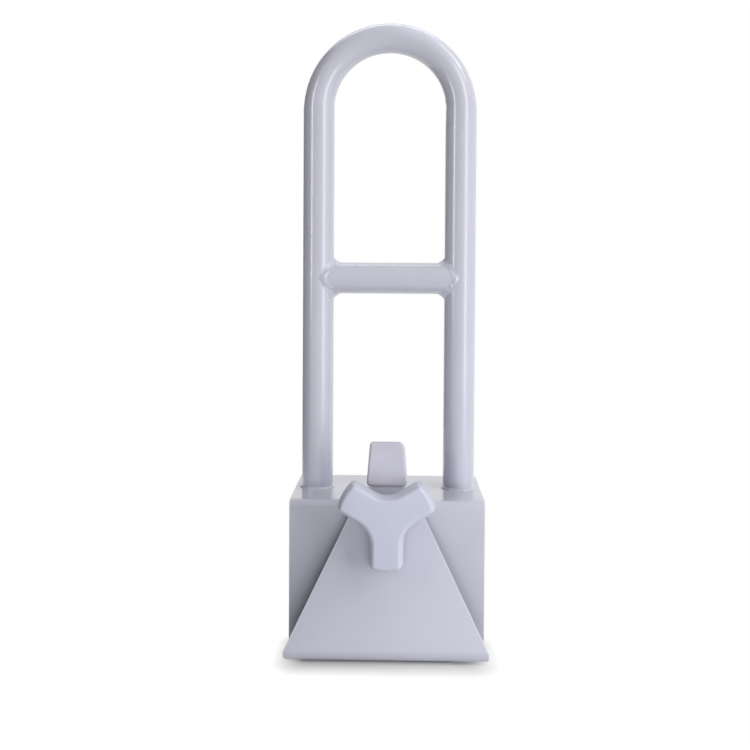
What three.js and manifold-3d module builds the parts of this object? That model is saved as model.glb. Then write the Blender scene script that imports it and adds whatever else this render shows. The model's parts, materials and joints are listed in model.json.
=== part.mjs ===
// A grab rail that clamps over the wall of a bathtub: an arched tube rail on a folded saddle,
// and a hinged clamp plate that a three-lobed knob draws in towards the tub wall.
// Millimetres, +Z up. The origin is on the underside of the rim pad, midway between the legs.
// The knob faces -Y, and the clamp is modelled fully open.
import * as THREE from "three";
import { mergeVertices } from "three/addons/utils/BufferGeometryUtils.js";
import Module from "manifold-3d";

// Rail
const TUBE_OD = 25.4;
const TUBE_WALL = 1.5;
const LEG_SPACING = 115.6;
const RAIL_RISE = 379; // top of the arch above the saddle's top face
const CROSSBAR_RISE = 171.5; // centre line of the crossbar above the saddle's top face
const PLUG_LENGTH = 12;
const BAR_BEAD_R = 3.1; // section radius of the bead round the crossbar's coped end
const BAR_BEAD_PROUD = 0.8; // how far the bead's centre stands off the tubes
const LEG_BEAD = 1.8; // leg length of the fillet bead at the saddle

// Saddle
const SHEET = 3;
const SADDLE_WIDTH = 151;
const SADDLE_DEPTH = 102;
const SADDLE_HEIGHT = 114;
const SADDLE_BEND = 5; // outer radius of its two folds
const SADDLE_CORNER = 8; // rounding of the walls' lower corners
const TOE_SLOT_WIDTH = 112;
const TOE_SLOT_HEIGHT = 8;

// Pads
const RIM_PAD_THICK = 14.7;
const RIM_PAD_WIDTH = 147;
const RIM_PAD_DEPTH = 90;
const RIM_PAD_CORNER = 4;
const RECESS_CLEAR = 2; // room in the rim pad's recess round the nut and the rod's end
const BACK_PAD_THICK = 6;
const BACK_PAD_WIDTH = 58;
const BACK_PAD_HEIGHT = 74;
const BACK_PAD_CORNER = 6;
const BACK_PAD_SPACING = 76;
const BACK_PAD_DROP = 48; // centre of the pads below the rim
const RIVET_SPACING = 44;
const RIVET_SHANK_R = 2;
const RIVET_HEAD_R = 4.5;
const RIVET_HEAD_HEIGHT = 1.8;
const RIVET_REACH = 2.5; // how far the shank enters the pad

// Hinge of the clamp plate
const PIN_R = 2;
const PIN_FORWARD = 3; // pin axis in front of the saddle's front face
const PIN_RISE = 7; // pin axis above the saddle's top face
const PIN_HEAD_R = 3.2;
const PIN_HEAD_LENGTH = 1.4;
const PIN_TAIL = 2.6; // length of pin outside the lug that carries the clip
const CLIP_R = 3.6;
const CLIP_THICK = 0.8;
const LUG_GAUGE = 3;
const LUG_INSIDE = 19; // from the middle of the rail to each lug's inner face
const LUG_R = 3.8;
const LUG_FOOT = 17; // length of the lug from the pin axis back along the top plate
const KNUCKLE_R = 3.4;
const PLATE_STANDOFF = 5.476; // pin axis to the plate's middle plane

// Clamp plate, measured along the plate from the pin axis
const PLATE = 2.5;
const LEAN_DEGREES = 12;
const NECK_WIDTH = 36;
const SHOULDER_RISE = 4.4;
const SHOULDER_CORNER = 3;
const TONGUE_WIDTH = 22;
const TONGUE_RISE = 36.4;
const TONGUE_CORNER = 3.5;
const TOE_WIDTH = 153;
const TOE_EDGE_DROP = 116.7; // where the slanted sides reach the toe's full width
const TOE_BEND = 8; // outer radius of the rolled toe
const TOE_CORNER = 6;
const TOE_LIFT = 0.5; // toe above the saddle's lower edge
const LIP_WIDTH = 100;
const LIP_INSIDE = 8.24; // the lip's edge behind the saddle's front face
const ROD_SLOT_WIDTH = 9.5;
const ROD_SLOT_HEIGHT = 14;
const ROD_SLOT_DROP = 16.8;
const CAP_WALL = 1.5;
const CAP_RISE = 38.6;
const CAP_FOOT_RISE = 5.6;
const CAP_FOOT_WIDTH = 31.5;
const CAP_TOP_WIDTH = 26.5;
const CAP_CORNER = 4;
const CAP_ROUNDING = 1;
const TOE_PAD_WIDTH = 92;
const TOE_PAD_HEIGHT = 8;
const TOE_PAD_AHEAD = 4; // rubber beyond the lip's edge
const TOE_PAD_BEHIND = 4; // rubber over the lip's upper face

// Screw and knob, measured along the rod from where it crosses the open plate
const ROD_R = 4;
const ROD_TILT_DEGREES = 5;
const ROD_DROP = 10; // rod axis below the saddle's top face where it crosses the front wall
const ROD_INSIDE = 16.5; // rod beyond the front wall's middle plane
const ROD_TRAVEL = 3.2; // how far the rod screws in as the clamp closes
const ROD_CHAMFER = 1;
const ROD_HOLE_R = 5;
const NUT_WIDTH = 24;
const NUT_DEPTH = 14;
const NUT_HEIGHT = 12;
const DOME_R = 20;
const DOME_GAP = 0.2;
const FRONT_WASHER_R = 9;
const FRONT_WASHER_RIM = 1;
const REAR_WASHER_R = 7;
const REAR_WASHER_RIM = 0.8;
const RING_R = 6.5;
const RING_THICK = 1.2;
const KNOB_FACE_OUT = 28.15; // front face of the knob out from the plate
const KNOB_THICK = 18;
const KNOB_R = 37.9;
const LOBE_HALF_WIDTH = 12.9;
const LOBE_CORNER = 5;
const LOBE_FILLET = 18;
const KNOB_ROUNDING = 4.2;
const KNOB_WALL = 3;
const KNOB_FACE_WALL = 4.5;
const HUB_R = 11.5;
const INSERT_R = 6.8;
const INSERT_LENGTH = 15;

// Clearances
const GAP = 0.3; // between pieces that are fixed to each other
const RUN = 0.4; // between pieces that turn or slide
const OVERRUN = 2; // how far a cutter reaches past what it cuts

// Facets
const ROUND = 24;
const ARCH_STEPS = 24;
const ARC = 3; // each arc of an outline gets twice as many chords
const BORE_ARC = 8; // the same for outlines with a pin hole
const LOBES = 3;

// Derived places
const TUBE_R = TUBE_OD / 2;
const BORE_R = TUBE_R - TUBE_WALL;
const LEG_X = LEG_SPACING / 2;
const SHEET_UNDER = RIM_PAD_THICK + GAP;
const TOP = SHEET_UNDER + SHEET;
const FLOOR = TOP - SADDLE_HEIGHT;
const FRONT = -SADDLE_DEPTH / 2;
const BACK = SADDLE_DEPTH / 2;
const BACK_INSIDE = BACK - SHEET;
const ARCH_Z = TOP + RAIL_RISE - TUBE_R - LEG_X;
const BAR_Z = TOP + CROSSBAR_RISE;
const PIN_Y = FRONT - PIN_FORWARD;
const PIN_Z = TOP + PIN_RISE;
const LUG_OUTSIDE = LUG_INSIDE + LUG_GAUGE;

const LEAN = THREE.MathUtils.degToRad(LEAN_DEGREES);
const TILT = THREE.MathUtils.degToRad(ROD_TILT_DEGREES);
const PLATE_FRONT = -PLATE_STANDOFF - PLATE / 2;
const PLATE_BACK = -PLATE_STANDOFF + PLATE / 2;
const TOE_Y = PLATE_FRONT + TOE_BEND;
const TOE_Z = (FLOOR + TOE_LIFT + TOE_BEND - PIN_Z + TOE_Y * Math.sin(LEAN)) / Math.cos(LEAN);
const LIP_LENGTH = FRONT + LIP_INSIDE - PIN_Y - TOE_Y * Math.cos(LEAN) - TOE_Z * Math.sin(LEAN);

// Where the rod's axis meets the plate's middle plane while the clamp is open.
const WALL_Y = FRONT + SHEET / 2;
const WALL_Z = TOP - ROD_DROP;
const PLATE_Y = PIN_Y - PLATE_STANDOFF * Math.cos(LEAN);
const PLATE_Z = PIN_Z + PLATE_STANDOFF * Math.sin(LEAN);
const ALONG =
  (WALL_Z + (WALL_Y - PLATE_Y) * Math.tan(TILT) - PLATE_Z) /
  (Math.cos(LEAN) + Math.sin(LEAN) * Math.tan(TILT));
const ROD_Y = PLATE_Y + ALONG * Math.sin(LEAN);
const ROD_Z = PLATE_Z + ALONG * Math.cos(LEAN);
const ROD_TO_WALL = (WALL_Y - ROD_Y) / Math.cos(TILT);

// Stations along the rod, outwards from the plate.
const DOME_CENTRE = (DOME_R + DOME_GAP + PLATE / 2) / Math.cos(LEAN - TILT);
const FRONT_WASHER_RIM_AT = DOME_CENTRE - Math.sqrt(DOME_R ** 2 - FRONT_WASHER_R ** 2);
const FRONT_WASHER_END = FRONT_WASHER_RIM_AT + FRONT_WASHER_RIM;
const REAR_WASHER_RIM_AT = DOME_CENTRE - Math.sqrt(DOME_R ** 2 - REAR_WASHER_R ** 2);
const REAR_WASHER_END = REAR_WASHER_RIM_AT + REAR_WASHER_RIM;
const HUB_BACK = FRONT_WASHER_END + RUN;
const LOBE_BACK = KNOB_FACE_OUT - KNOB_THICK;
const INSERT_END = HUB_BACK + GAP + INSERT_LENGTH;

const wasm = await Module();
wasm.setup();

function material(color, roughness, metalness) {
  return new THREE.MeshStandardMaterial({ color, roughness, metalness });
}

const MATERIALS = {
  paint: material(0xccccd8, 0.35, 0.1),
  weld: material(0xc4c4d0, 0.45, 0.1),
  knob: material(0xc8c8d8, 0.5, 0),
  cap: material(0xbfbdc9, 0.7, 0),
  rubber: material(0x55565c, 0.85, 0),
  zinc: material(0xb8bac0, 0.35, 0.9),
  brass: material(0xb9975a, 0.35, 0.9),
  plug: material(0x3a3b40, 0.6, 0),
};

// Solids for joining and cutting

function toSolid(geometry) {
  const bare = geometry.clone();
  bare.deleteAttribute("normal");
  bare.deleteAttribute("uv");
  const merged = mergeVertices(bare);
  return new wasm.Manifold(
    new wasm.Mesh({
      numProp: 3,
      vertProperties: merged.attributes.position.array,
      triVerts: new Uint32Array(merged.index.array),
    }),
  );
}

function toGeometry(solid) {
  const mesh = solid.getMesh();
  const geometry = new THREE.BufferGeometry();
  geometry.setAttribute("position", new THREE.BufferAttribute(mesh.vertProperties, 3));
  geometry.setIndex(new THREE.BufferAttribute(mesh.triVerts, 1));
  const faceted = geometry.toNonIndexed();
  faceted.computeVertexNormals();
  return faceted;
}

function cut(geometry, ...cutters) {
  return toGeometry(cutters.reduce((left, c) => left.subtract(toSolid(c)), toSolid(geometry)));
}

function join(geometry, ...others) {
  return toGeometry(others.reduce((whole, o) => whole.add(toSolid(o)), toSolid(geometry)));
}

function overlap(geometry, other) {
  return toGeometry(toSolid(geometry).intersect(toSolid(other)));
}

function named(name, geometry, look) {
  const mesh = new THREE.Mesh(geometry, look);
  mesh.name = name;
  return mesh;
}

// Shapes

const X = new THREE.Vector3(1, 0, 0);
const Y = new THREE.Vector3(0, 1, 0);
const Z = new THREE.Vector3(0, 0, 1);

function extrude(shape, depth, curveSegments = ARC) {
  return new THREE.ExtrudeGeometry(shape, { depth, bevelEnabled: false, curveSegments });
}

// An outline of a given thickness, centred on its plane, with its edges rounded within it.
function pillow(shape, thick, rounding, bevelSegments) {
  return new THREE.ExtrudeGeometry(shape, {
    depth: thick - rounding * 2,
    bevelThickness: rounding,
    bevelSize: rounding,
    bevelOffset: -rounding,
    bevelSegments,
    curveSegments: ARC,
  }).translate(0, 0, rounding - thick / 2);
}

// A side profile, drawn as (y, z), extruded evenly to both sides of the plane x = 0.
function alongX(shape, width, curveSegments = ARC) {
  const geometry = extrude(shape, width, curveSegments);
  geometry.translate(0, 0, -width / 2);
  return geometry.applyMatrix4(new THREE.Matrix4().makeBasis(Y, Z, X));
}

// A front outline, drawn as (x, z), that fills y from near to far.
function alongY(shape, near, far) {
  const geometry = extrude(shape, far - near);
  geometry.applyMatrix4(new THREE.Matrix4().makeBasis(X, Z, Y.clone().negate()));
  return geometry.translate(0, far, 0);
}

// A plan, drawn as (x, y), that fills z from low to high.
function alongZ(shape, low, high) {
  return extrude(shape, high - low).translate(0, 0, low);
}

// Rounds the corner at (x, y) of an outline that runs anticlockwise: quarter 0 is the upper right
// corner, 1 the upper left, 2 the lower left and 3 the lower right.
function roundCorner(shape, x, y, r, quarter) {
  const start = (quarter * Math.PI) / 2;
  const right = quarter === 0 || quarter === 3;
  const upper = quarter < 2;
  shape.absarc(right ? x - r : x + r, upper ? y - r : y + r, r, start, start + Math.PI / 2, false);
}

function roundedRectangle(x0, y0, x1, y1, r) {
  const shape = new THREE.Shape();
  roundCorner(shape, x1, y1, r, 0);
  roundCorner(shape, x0, y1, r, 1);
  roundCorner(shape, x0, y0, r, 2);
  roundCorner(shape, x1, y0, r, 3);
  shape.closePath();
  return shape;
}

// A solid of revolution about Z, from [radius, z] pairs that start and end on the axis.
function turned(pairs, sides = ROUND) {
  const profile = pairs.map(([r, z]) => new THREE.Vector2(r, z));
  return new THREE.LatheGeometry(profile, sides).rotateX(Math.PI / 2);
}

function rod(radius, low, high) {
  return turned([
    [0, low],
    [radius, low],
    [radius, high],
    [0, high],
  ]);
}

// A ring about Z whose section closes on itself.
function ring(pairs) {
  return turned([...pairs, pairs[0]]);
}

function tubeSection(outer, inner) {
  const shape = new THREE.Shape().absarc(0, 0, outer, 0, Math.PI * 2, false);
  shape.holes.push(new THREE.Path().absarc(0, 0, inner, 0, Math.PI * 2, true));
  return shape;
}

// A path with its stations given, so that a straight run needs only its two ends.
class StationPath extends THREE.Curve {
  constructor(stations) {
    super();
    this.stations = stations;
  }
  station(u) {
    return this.stations[Math.round(u * (this.stations.length - 1))];
  }
  getPointAt(u) {
    return this.station(u).point.clone();
  }
  getTangentAt(u) {
    return this.station(u).tangent.clone();
  }
}

// Rail

function railTube() {
  const up = Z.clone();
  const down = Z.clone().negate();
  const stations = [{ point: new THREE.Vector3(-LEG_X, 0, SHEET_UNDER), tangent: up }];
  for (let i = 0; i <= ARCH_STEPS; i++) {
    const a = Math.PI * (1 - i / ARCH_STEPS);
    stations.push({
      point: new THREE.Vector3(LEG_X * Math.cos(a), 0, ARCH_Z + LEG_X * Math.sin(a)),
      tangent: new THREE.Vector3(Math.sin(a), 0, -Math.cos(a)),
    });
  }
  stations.push({ point: new THREE.Vector3(LEG_X, 0, SHEET_UNDER), tangent: down });
  return new THREE.ExtrudeGeometry(tubeSection(TUBE_R, BORE_R), {
    steps: stations.length - 1,
    extrudePath: new StationPath(stations),
    bevelEnabled: false,
    curveSegments: ROUND / 2,
  });
}

function legCutter(side, radius) {
  return rod(radius, SHEET_UNDER - OVERRUN, ARCH_Z).translate(side * LEG_X, 0, 0);
}

function crossbar() {
  const tube = extrude(tubeSection(TUBE_R, BORE_R), LEG_SPACING, ROUND / 2);
  tube.translate(0, 0, -LEG_X).rotateY(Math.PI / 2).translate(0, 0, BAR_Z);
  return cut(tube, legCutter(-1, TUBE_R + GAP), legCutter(1, TUBE_R + GAP));
}

// The line where the crossbar's outside meets a leg's outside, eased where it would come to a point.
class CopeLine extends THREE.Curve {
  constructor(side) {
    super();
    this.side = side;
  }
  getPoint(t) {
    const easeShare = 0.93;
    const a = t * Math.PI * 2;
    const r = TUBE_R + BAR_BEAD_PROUD;
    const y = r * Math.sin(a);
    const inward = Math.sqrt(r ** 2 - (y * easeShare) ** 2);
    return new THREE.Vector3(this.side * (LEG_X - inward), y, BAR_Z + r * Math.cos(a));
  }
}

function barBead(side) {
  const sides = 8;
  const steps = 40;
  const bead = new THREE.TubeGeometry(new CopeLine(side), steps, BAR_BEAD_R, sides, true);
  const bar = rod(TUBE_R + GAP, -LEG_X, LEG_X).rotateY(Math.PI / 2).translate(0, 0, BAR_Z);
  return cut(bead, legCutter(side, TUBE_R + GAP), bar);
}

function legBead(side) {
  const r = TUBE_R + GAP;
  const z = TOP + GAP;
  const bulgeShare = 0.58;
  return ring([
    [r, z],
    [r + LEG_BEAD, z],
    [r + LEG_BEAD * bulgeShare, z + LEG_BEAD * bulgeShare],
    [r, z + LEG_BEAD],
  ]).translate(side * LEG_X, 0, 0);
}

function legPlug(side) {
  return rod(BORE_R - GAP, SHEET_UNDER, SHEET_UNDER + PLUG_LENGTH).translate(side * LEG_X, 0, 0);
}

// Saddle and what is fixed to it

function saddleProfile() {
  const front = FRONT + SADDLE_BEND;
  const back = BACK - SADDLE_BEND;
  const fold = TOP - SADDLE_BEND;
  const inner = SADDLE_BEND - SHEET;
  const shape = new THREE.Shape();
  shape.moveTo(FRONT, FLOOR);
  shape.lineTo(FRONT + SHEET, FLOOR);
  shape.absarc(front, fold, inner, Math.PI, Math.PI / 2, true);
  shape.absarc(back, fold, inner, Math.PI / 2, 0, true);
  shape.lineTo(BACK_INSIDE, FLOOR);
  shape.lineTo(BACK, FLOOR);
  shape.absarc(back, fold, SADDLE_BEND, 0, Math.PI / 2, false);
  shape.absarc(front, fold, SADDLE_BEND, Math.PI / 2, Math.PI, false);
  shape.closePath();
  return shape;
}

// The wall outline seen from the front: square at the top, with rounded lower corners.
function saddleOutline() {
  const x = SADDLE_WIDTH / 2;
  const shape = new THREE.Shape();
  shape.moveTo(-x, TOP + OVERRUN);
  shape.lineTo(-x, FLOOR + SADDLE_CORNER);
  roundCorner(shape, -x, FLOOR, SADDLE_CORNER, 2);
  roundCorner(shape, x, FLOOR, SADDLE_CORNER, 3);
  shape.lineTo(x, TOP + OVERRUN);
  shape.closePath();
  return shape;
}

function rodCutter(radius) {
  const reach = ROD_TO_WALL + NUT_DEPTH + SHEET;
  return inScrewFrame(rod(radius, -reach - OVERRUN, 0));
}

function rivetPlaces() {
  const places = [];
  for (const side of [-1, 1]) {
    for (const level of [-1, 1]) {
      places.push({
        x: (side * BACK_PAD_SPACING) / 2,
        z: -BACK_PAD_DROP + (level * RIVET_SPACING) / 2,
      });
    }
  }
  return places;
}

function rivetHole({ x, z }, near, far) {
  const hole = rod(RIVET_SHANK_R + GAP, near, far).rotateX(-Math.PI / 2);
  return hole.translate(x, 0, z);
}

function saddle() {
  const folded = overlap(
    alongX(saddleProfile(), SADDLE_WIDTH),
    alongY(saddleOutline(), FRONT - OVERRUN, BACK + OVERRUN),
  );
  const half = TOE_SLOT_WIDTH / 2;
  const slot = roundedRectangle(-half, FLOOR - OVERRUN, half, FLOOR + TOE_SLOT_HEIGHT, OVERRUN);
  const holes = rivetPlaces().map((p) => rivetHole(p, BACK_INSIDE - OVERRUN, BACK + OVERRUN));
  return cut(
    folded,
    legCutter(-1, TUBE_R + GAP),
    legCutter(1, TUBE_R + GAP),
    rodCutter(ROD_HOLE_R),
    alongY(slot, FRONT - OVERRUN, FRONT + SHEET + OVERRUN),
    ...holes,
  );
}

function nutBlock() {
  const y = FRONT + SHEET + GAP;
  const z = TOP - SADDLE_BEND - NUT_HEIGHT;
  const block = new THREE.BoxGeometry(NUT_WIDTH, NUT_DEPTH, NUT_HEIGHT);
  block.translate(0, y + NUT_DEPTH / 2, z + NUT_HEIGHT / 2);
  return cut(block, rodCutter(ROD_R + GAP));
}

function rimPad() {
  const x = RIM_PAD_WIDTH / 2;
  const y = RIM_PAD_DEPTH / 2;
  const plan = roundedRectangle(-x, -y, x, y, RIM_PAD_CORNER);
  const clear = NUT_WIDTH / 2 + RECESS_CLEAR;
  const recessEnd = WALL_Y + ROD_INSIDE + ROD_TRAVEL + RECESS_CLEAR;
  const recess = roundedRectangle(-clear, -y - RIM_PAD_CORNER, clear, recessEnd, RUN);
  return cut(
    alongZ(plan, 0, RIM_PAD_THICK),
    alongZ(recess, -OVERRUN, RIM_PAD_THICK + OVERRUN),
  );
}

function backPad(side) {
  const x = (side * BACK_PAD_SPACING) / 2;
  const w = BACK_PAD_WIDTH / 2;
  const h = BACK_PAD_HEIGHT / 2;
  const outline = roundedRectangle(
    x - w,
    -BACK_PAD_DROP - h,
    x + w,
    -BACK_PAD_DROP + h,
    BACK_PAD_CORNER,
  );
  const face = BACK_INSIDE - GAP;
  const pad = alongY(outline, face - BACK_PAD_THICK, face);
  const holes = rivetPlaces()
    .filter((p) => Math.sign(p.x) === side)
    .map((p) => rivetHole(p, face - RIVET_REACH - GAP, face + OVERRUN));
  return cut(pad, ...holes);
}

function rivet({ x, z }) {
  const crownShare = 0.6;
  const seat = BACK + GAP;
  return turned(
    [
      [0, BACK_INSIDE - GAP - RIVET_REACH],
      [RIVET_SHANK_R, BACK_INSIDE - GAP - RIVET_REACH],
      [RIVET_SHANK_R, seat],
      [RIVET_HEAD_R, seat],
      [RIVET_HEAD_R * crownShare, seat + RIVET_HEAD_HEIGHT],
      [0, seat + RIVET_HEAD_HEIGHT],
    ],
    ROUND / 2,
  )
    .rotateX(-Math.PI / 2)
    .translate(x, 0, z);
}

function hingeLug(side) {
  const foot = TOP + GAP;
  const shape = new THREE.Shape();
  shape.moveTo(PIN_Y + LUG_FOOT, foot);
  shape.lineTo(PIN_Y + LUG_FOOT, foot + LUG_R);
  shape.absarc(PIN_Y, PIN_Z, LUG_R, Math.PI / 2, Math.PI * 1.5, false);
  shape.lineTo(PIN_Y + PIN_FORWARD, foot);
  shape.closePath();
  const bore = new THREE.Path();
  bore.absarc(PIN_Y, PIN_Z, PIN_R + GAP, 0, Math.PI * 2, true);
  shape.holes.push(bore);
  return alongX(shape, LUG_GAUGE, BORE_ARC).translate(side * (LUG_INSIDE + LUG_GAUGE / 2), 0, 0);
}

function hingePin() {
  const head = LUG_OUTSIDE + GAP;
  return turned(
    [
      [0, -head - PIN_HEAD_LENGTH],
      [PIN_HEAD_R, -head - PIN_HEAD_LENGTH],
      [PIN_HEAD_R, -head],
      [PIN_R, -head],
      [PIN_R, LUG_OUTSIDE + PIN_TAIL],
      [0, LUG_OUTSIDE + PIN_TAIL],
    ],
    ROUND / 2,
  )
    .rotateY(Math.PI / 2)
    .translate(0, PIN_Y, PIN_Z);
}

function pinClip() {
  const start = LUG_OUTSIDE + GAP;
  return ring([
    [PIN_R + GAP, start],
    [CLIP_R, start],
    [CLIP_R, start + CLIP_THICK],
    [PIN_R + GAP, start + CLIP_THICK],
  ])
    .rotateY(Math.PI / 2)
    .translate(0, PIN_Y, PIN_Z);
}

// Clamp plate, in a frame at the pin axis with the plate upright

function plateProfile() {
  const turn = Math.PI / 2 + LEAN;
  const inner = TOE_BEND - PLATE;
  const lipEnd = (radius) => [
    TOE_Y + radius * Math.cos(Math.PI + turn) + LIP_LENGTH * Math.cos(LEAN),
    TOE_Z + radius * Math.sin(Math.PI + turn) + LIP_LENGTH * Math.sin(LEAN),
  ];
  const shape = new THREE.Shape();
  shape.moveTo(PLATE_BACK, TONGUE_RISE + OVERRUN);
  shape.lineTo(PLATE_BACK, TOE_Z);
  shape.absarc(TOE_Y, TOE_Z, inner, Math.PI, Math.PI + turn, false);
  shape.lineTo(...lipEnd(inner));
  shape.lineTo(...lipEnd(TOE_BEND));
  shape.absarc(TOE_Y, TOE_Z, TOE_BEND, Math.PI + turn, Math.PI, true);
  shape.lineTo(PLATE_FRONT, TONGUE_RISE + OVERRUN);
  shape.closePath();
  return shape;
}

function plateOutline() {
  const tongue = TONGUE_WIDTH / 2;
  const neck = NECK_WIDTH / 2;
  const toe = TOE_WIDTH / 2;
  const low = TOE_Z - TOE_BEND - GAP;
  const shape = new THREE.Shape();
  shape.moveTo(toe, -TOE_EDGE_DROP);
  shape.lineTo(neck, SHOULDER_RISE - SHOULDER_CORNER);
  roundCorner(shape, neck, SHOULDER_RISE, SHOULDER_CORNER, 0);
  shape.lineTo(tongue, SHOULDER_RISE);
  roundCorner(shape, tongue, TONGUE_RISE, TONGUE_CORNER, 0);
  roundCorner(shape, -tongue, TONGUE_RISE, TONGUE_CORNER, 1);
  shape.lineTo(-tongue, SHOULDER_RISE);
  roundCorner(shape, -neck, SHOULDER_RISE, SHOULDER_CORNER, 1);
  shape.lineTo(-toe, -TOE_EDGE_DROP);
  roundCorner(shape, -toe, low, TOE_CORNER, 2);
  roundCorner(shape, toe, low, TOE_CORNER, 3);
  shape.closePath();
  const half = ROD_SLOT_WIDTH / 2;
  const straight = ROD_SLOT_HEIGHT / 2 - half;
  const slot = new THREE.Path();
  slot.absarc(0, -ROD_SLOT_DROP + straight, half, 0, Math.PI, false);
  slot.absarc(0, -ROD_SLOT_DROP - straight, half, Math.PI, Math.PI * 2, false);
  slot.closePath();
  shape.holes.push(slot);
  return shape;
}

function clampPlate() {
  const reach = TOE_BEND + LIP_LENGTH + OVERRUN;
  const sheet = overlap(
    alongX(plateProfile(), TOE_WIDTH + OVERRUN),
    alongY(plateOutline(), PLATE_FRONT - OVERRUN, TOE_Y + reach),
  );
  const trimWidth = (TOE_WIDTH - LIP_WIDTH) / 2 + OVERRUN;
  const trims = [-1, 1].map((side) =>
    new THREE.BoxGeometry(trimWidth, reach, reach + TOE_BEND).translate(
      side * (LIP_WIDTH / 2 + trimWidth / 2),
      TOE_Y + reach / 2,
      TOE_Z + reach / 2 - TOE_BEND,
    ),
  );
  return cut(sheet, ...trims);
}

function plateKnuckle() {
  const seat = PLATE_BACK + GAP;
  const shape = new THREE.Shape();
  shape.moveTo(seat, -KNUCKLE_R);
  shape.lineTo(0, -KNUCKLE_R);
  shape.absarc(0, 0, KNUCKLE_R, -Math.PI / 2, Math.PI / 2, false);
  shape.lineTo(seat, KNUCKLE_R);
  shape.closePath();
  const bore = new THREE.Path();
  bore.absarc(0, 0, PIN_R + GAP, 0, Math.PI * 2, true);
  shape.holes.push(bore);
  return alongX(shape, (LUG_INSIDE - RUN) * 2, BORE_ARC);
}

function tongueCap() {
  const foot = CAP_FOOT_WIDTH / 2;
  const top = CAP_TOP_WIDTH / 2;
  const outline = new THREE.Shape();
  outline.moveTo(-foot, CAP_FOOT_RISE);
  outline.lineTo(foot, CAP_FOOT_RISE);
  outline.lineTo(top, CAP_RISE - CAP_CORNER);
  roundCorner(outline, top, CAP_RISE, CAP_CORNER, 0);
  roundCorner(outline, -top, CAP_RISE, CAP_CORNER, 1);
  outline.closePath();
  const thick = PLATE + (GAP + CAP_WALL) * 2;
  const outside = pillow(outline, thick, CAP_ROUNDING, 2);
  outside.applyMatrix4(new THREE.Matrix4().makeBasis(X, Z, Y.clone().negate()));
  outside.translate(0, -PLATE_STANDOFF, 0);
  const inside = new THREE.BoxGeometry(
    TONGUE_WIDTH + GAP * 2,
    PLATE + GAP * 2,
    TONGUE_RISE + GAP - CAP_FOOT_RISE + OVERRUN,
  );
  const middle = (TONGUE_RISE + GAP + CAP_FOOT_RISE - OVERRUN) / 2;
  return cut(outside, inside.translate(0, -PLATE_STANDOFF, middle));
}

// The toe pad's profile is drawn with the lip level, from the edge of the lip.
function toePad() {
  const top = TOE_PAD_HEIGHT;
  const groove = PLATE + GAP;
  const round = TOE_PAD_AHEAD / 2;
  const shape = new THREE.Shape();
  shape.moveTo(GAP, 0);
  shape.lineTo(TOE_PAD_AHEAD, 0);
  shape.absarc(TOE_PAD_AHEAD - round, top - round, round, 0, Math.PI / 2, false);
  shape.lineTo(-TOE_PAD_BEHIND, top);
  shape.lineTo(-TOE_PAD_BEHIND, groove);
  shape.lineTo(GAP, groove);
  shape.closePath();
  const pad = alongX(shape, TOE_PAD_WIDTH);
  pad.rotateX(LEAN);
  const a = Math.PI * 1.5 + LEAN;
  return pad.translate(
    0,
    TOE_Y + TOE_BEND * Math.cos(a) + LIP_LENGTH * Math.cos(LEAN),
    TOE_Z + TOE_BEND * Math.sin(a) + LIP_LENGTH * Math.sin(LEAN),
  );
}

// Screw and knob, in a frame where the rod meets the plate, with +Z out along the rod

function inScrewFrame(geometry) {
  return geometry.rotateX(Math.PI / 2 - TILT).translate(0, ROD_Y, ROD_Z);
}

function washer(radius, end, direction) {
  const chords = 4;
  const hole = ROD_R + GAP;
  const pairs = [
    [radius, direction * end],
    [hole, direction * end],
  ];
  for (let i = 0; i <= chords; i++) {
    const r = hole + ((radius - hole) * i) / chords;
    pairs.push([r, direction * (DOME_CENTRE - Math.sqrt(DOME_R ** 2 - r ** 2))]);
  }
  return ring(direction < 0 ? pairs.reverse() : pairs);
}

function retainingRing() {
  const start = -REAR_WASHER_END - GAP;
  return ring([
    [ROD_R + GAP, start - RING_THICK],
    [RING_R, start - RING_THICK],
    [RING_R, start],
    [ROD_R + GAP, start],
  ]);
}

function threadedRod() {
  const inner = -ROD_TO_WALL - ROD_INSIDE;
  return turned([
    [0, inner],
    [ROD_R - ROD_CHAMFER, inner],
    [ROD_R, inner + ROD_CHAMFER],
    [ROD_R, INSERT_END - GAP],
    [0, INSERT_END - GAP],
  ]);
}

// The knob's outline, drawn smaller by inset: lobes with parallel sides, joined by hollow fillets.
function knobOutline(inset) {
  const half = LOBE_HALF_WIDTH - inset;
  const tip = KNOB_R - inset;
  const corner = Math.max(LOBE_CORNER - inset, GAP);
  const fillet = LOBE_FILLET + inset;
  const reach = (half + fillet) / Math.sin(Math.PI / LOBES);
  const spread = Math.asin((half - corner) / (tip - corner));
  const shape = new THREE.Shape();
  for (let i = 0; i < LOBES; i++) {
    const a = -Math.PI / 2 + (i * Math.PI * 2) / LOBES;
    const between = a + Math.PI / LOBES;
    const at = (angle) => [(tip - corner) * Math.cos(angle), (tip - corner) * Math.sin(angle)];
    shape.absarc(...at(a - spread), corner, a - Math.PI / 2, a - spread, false);
    shape.absarc(0, 0, tip, a - spread, a + spread, false);
    shape.absarc(...at(a + spread), corner, a + spread, a + Math.PI / 2, false);
    shape.absarc(
      reach * Math.cos(between),
      reach * Math.sin(between),
      fillet,
      a - Math.PI / 2,
      between + Math.PI / LOBES + Math.PI / 2,
      true,
    );
  }
  shape.closePath();
  return shape;
}

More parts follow.
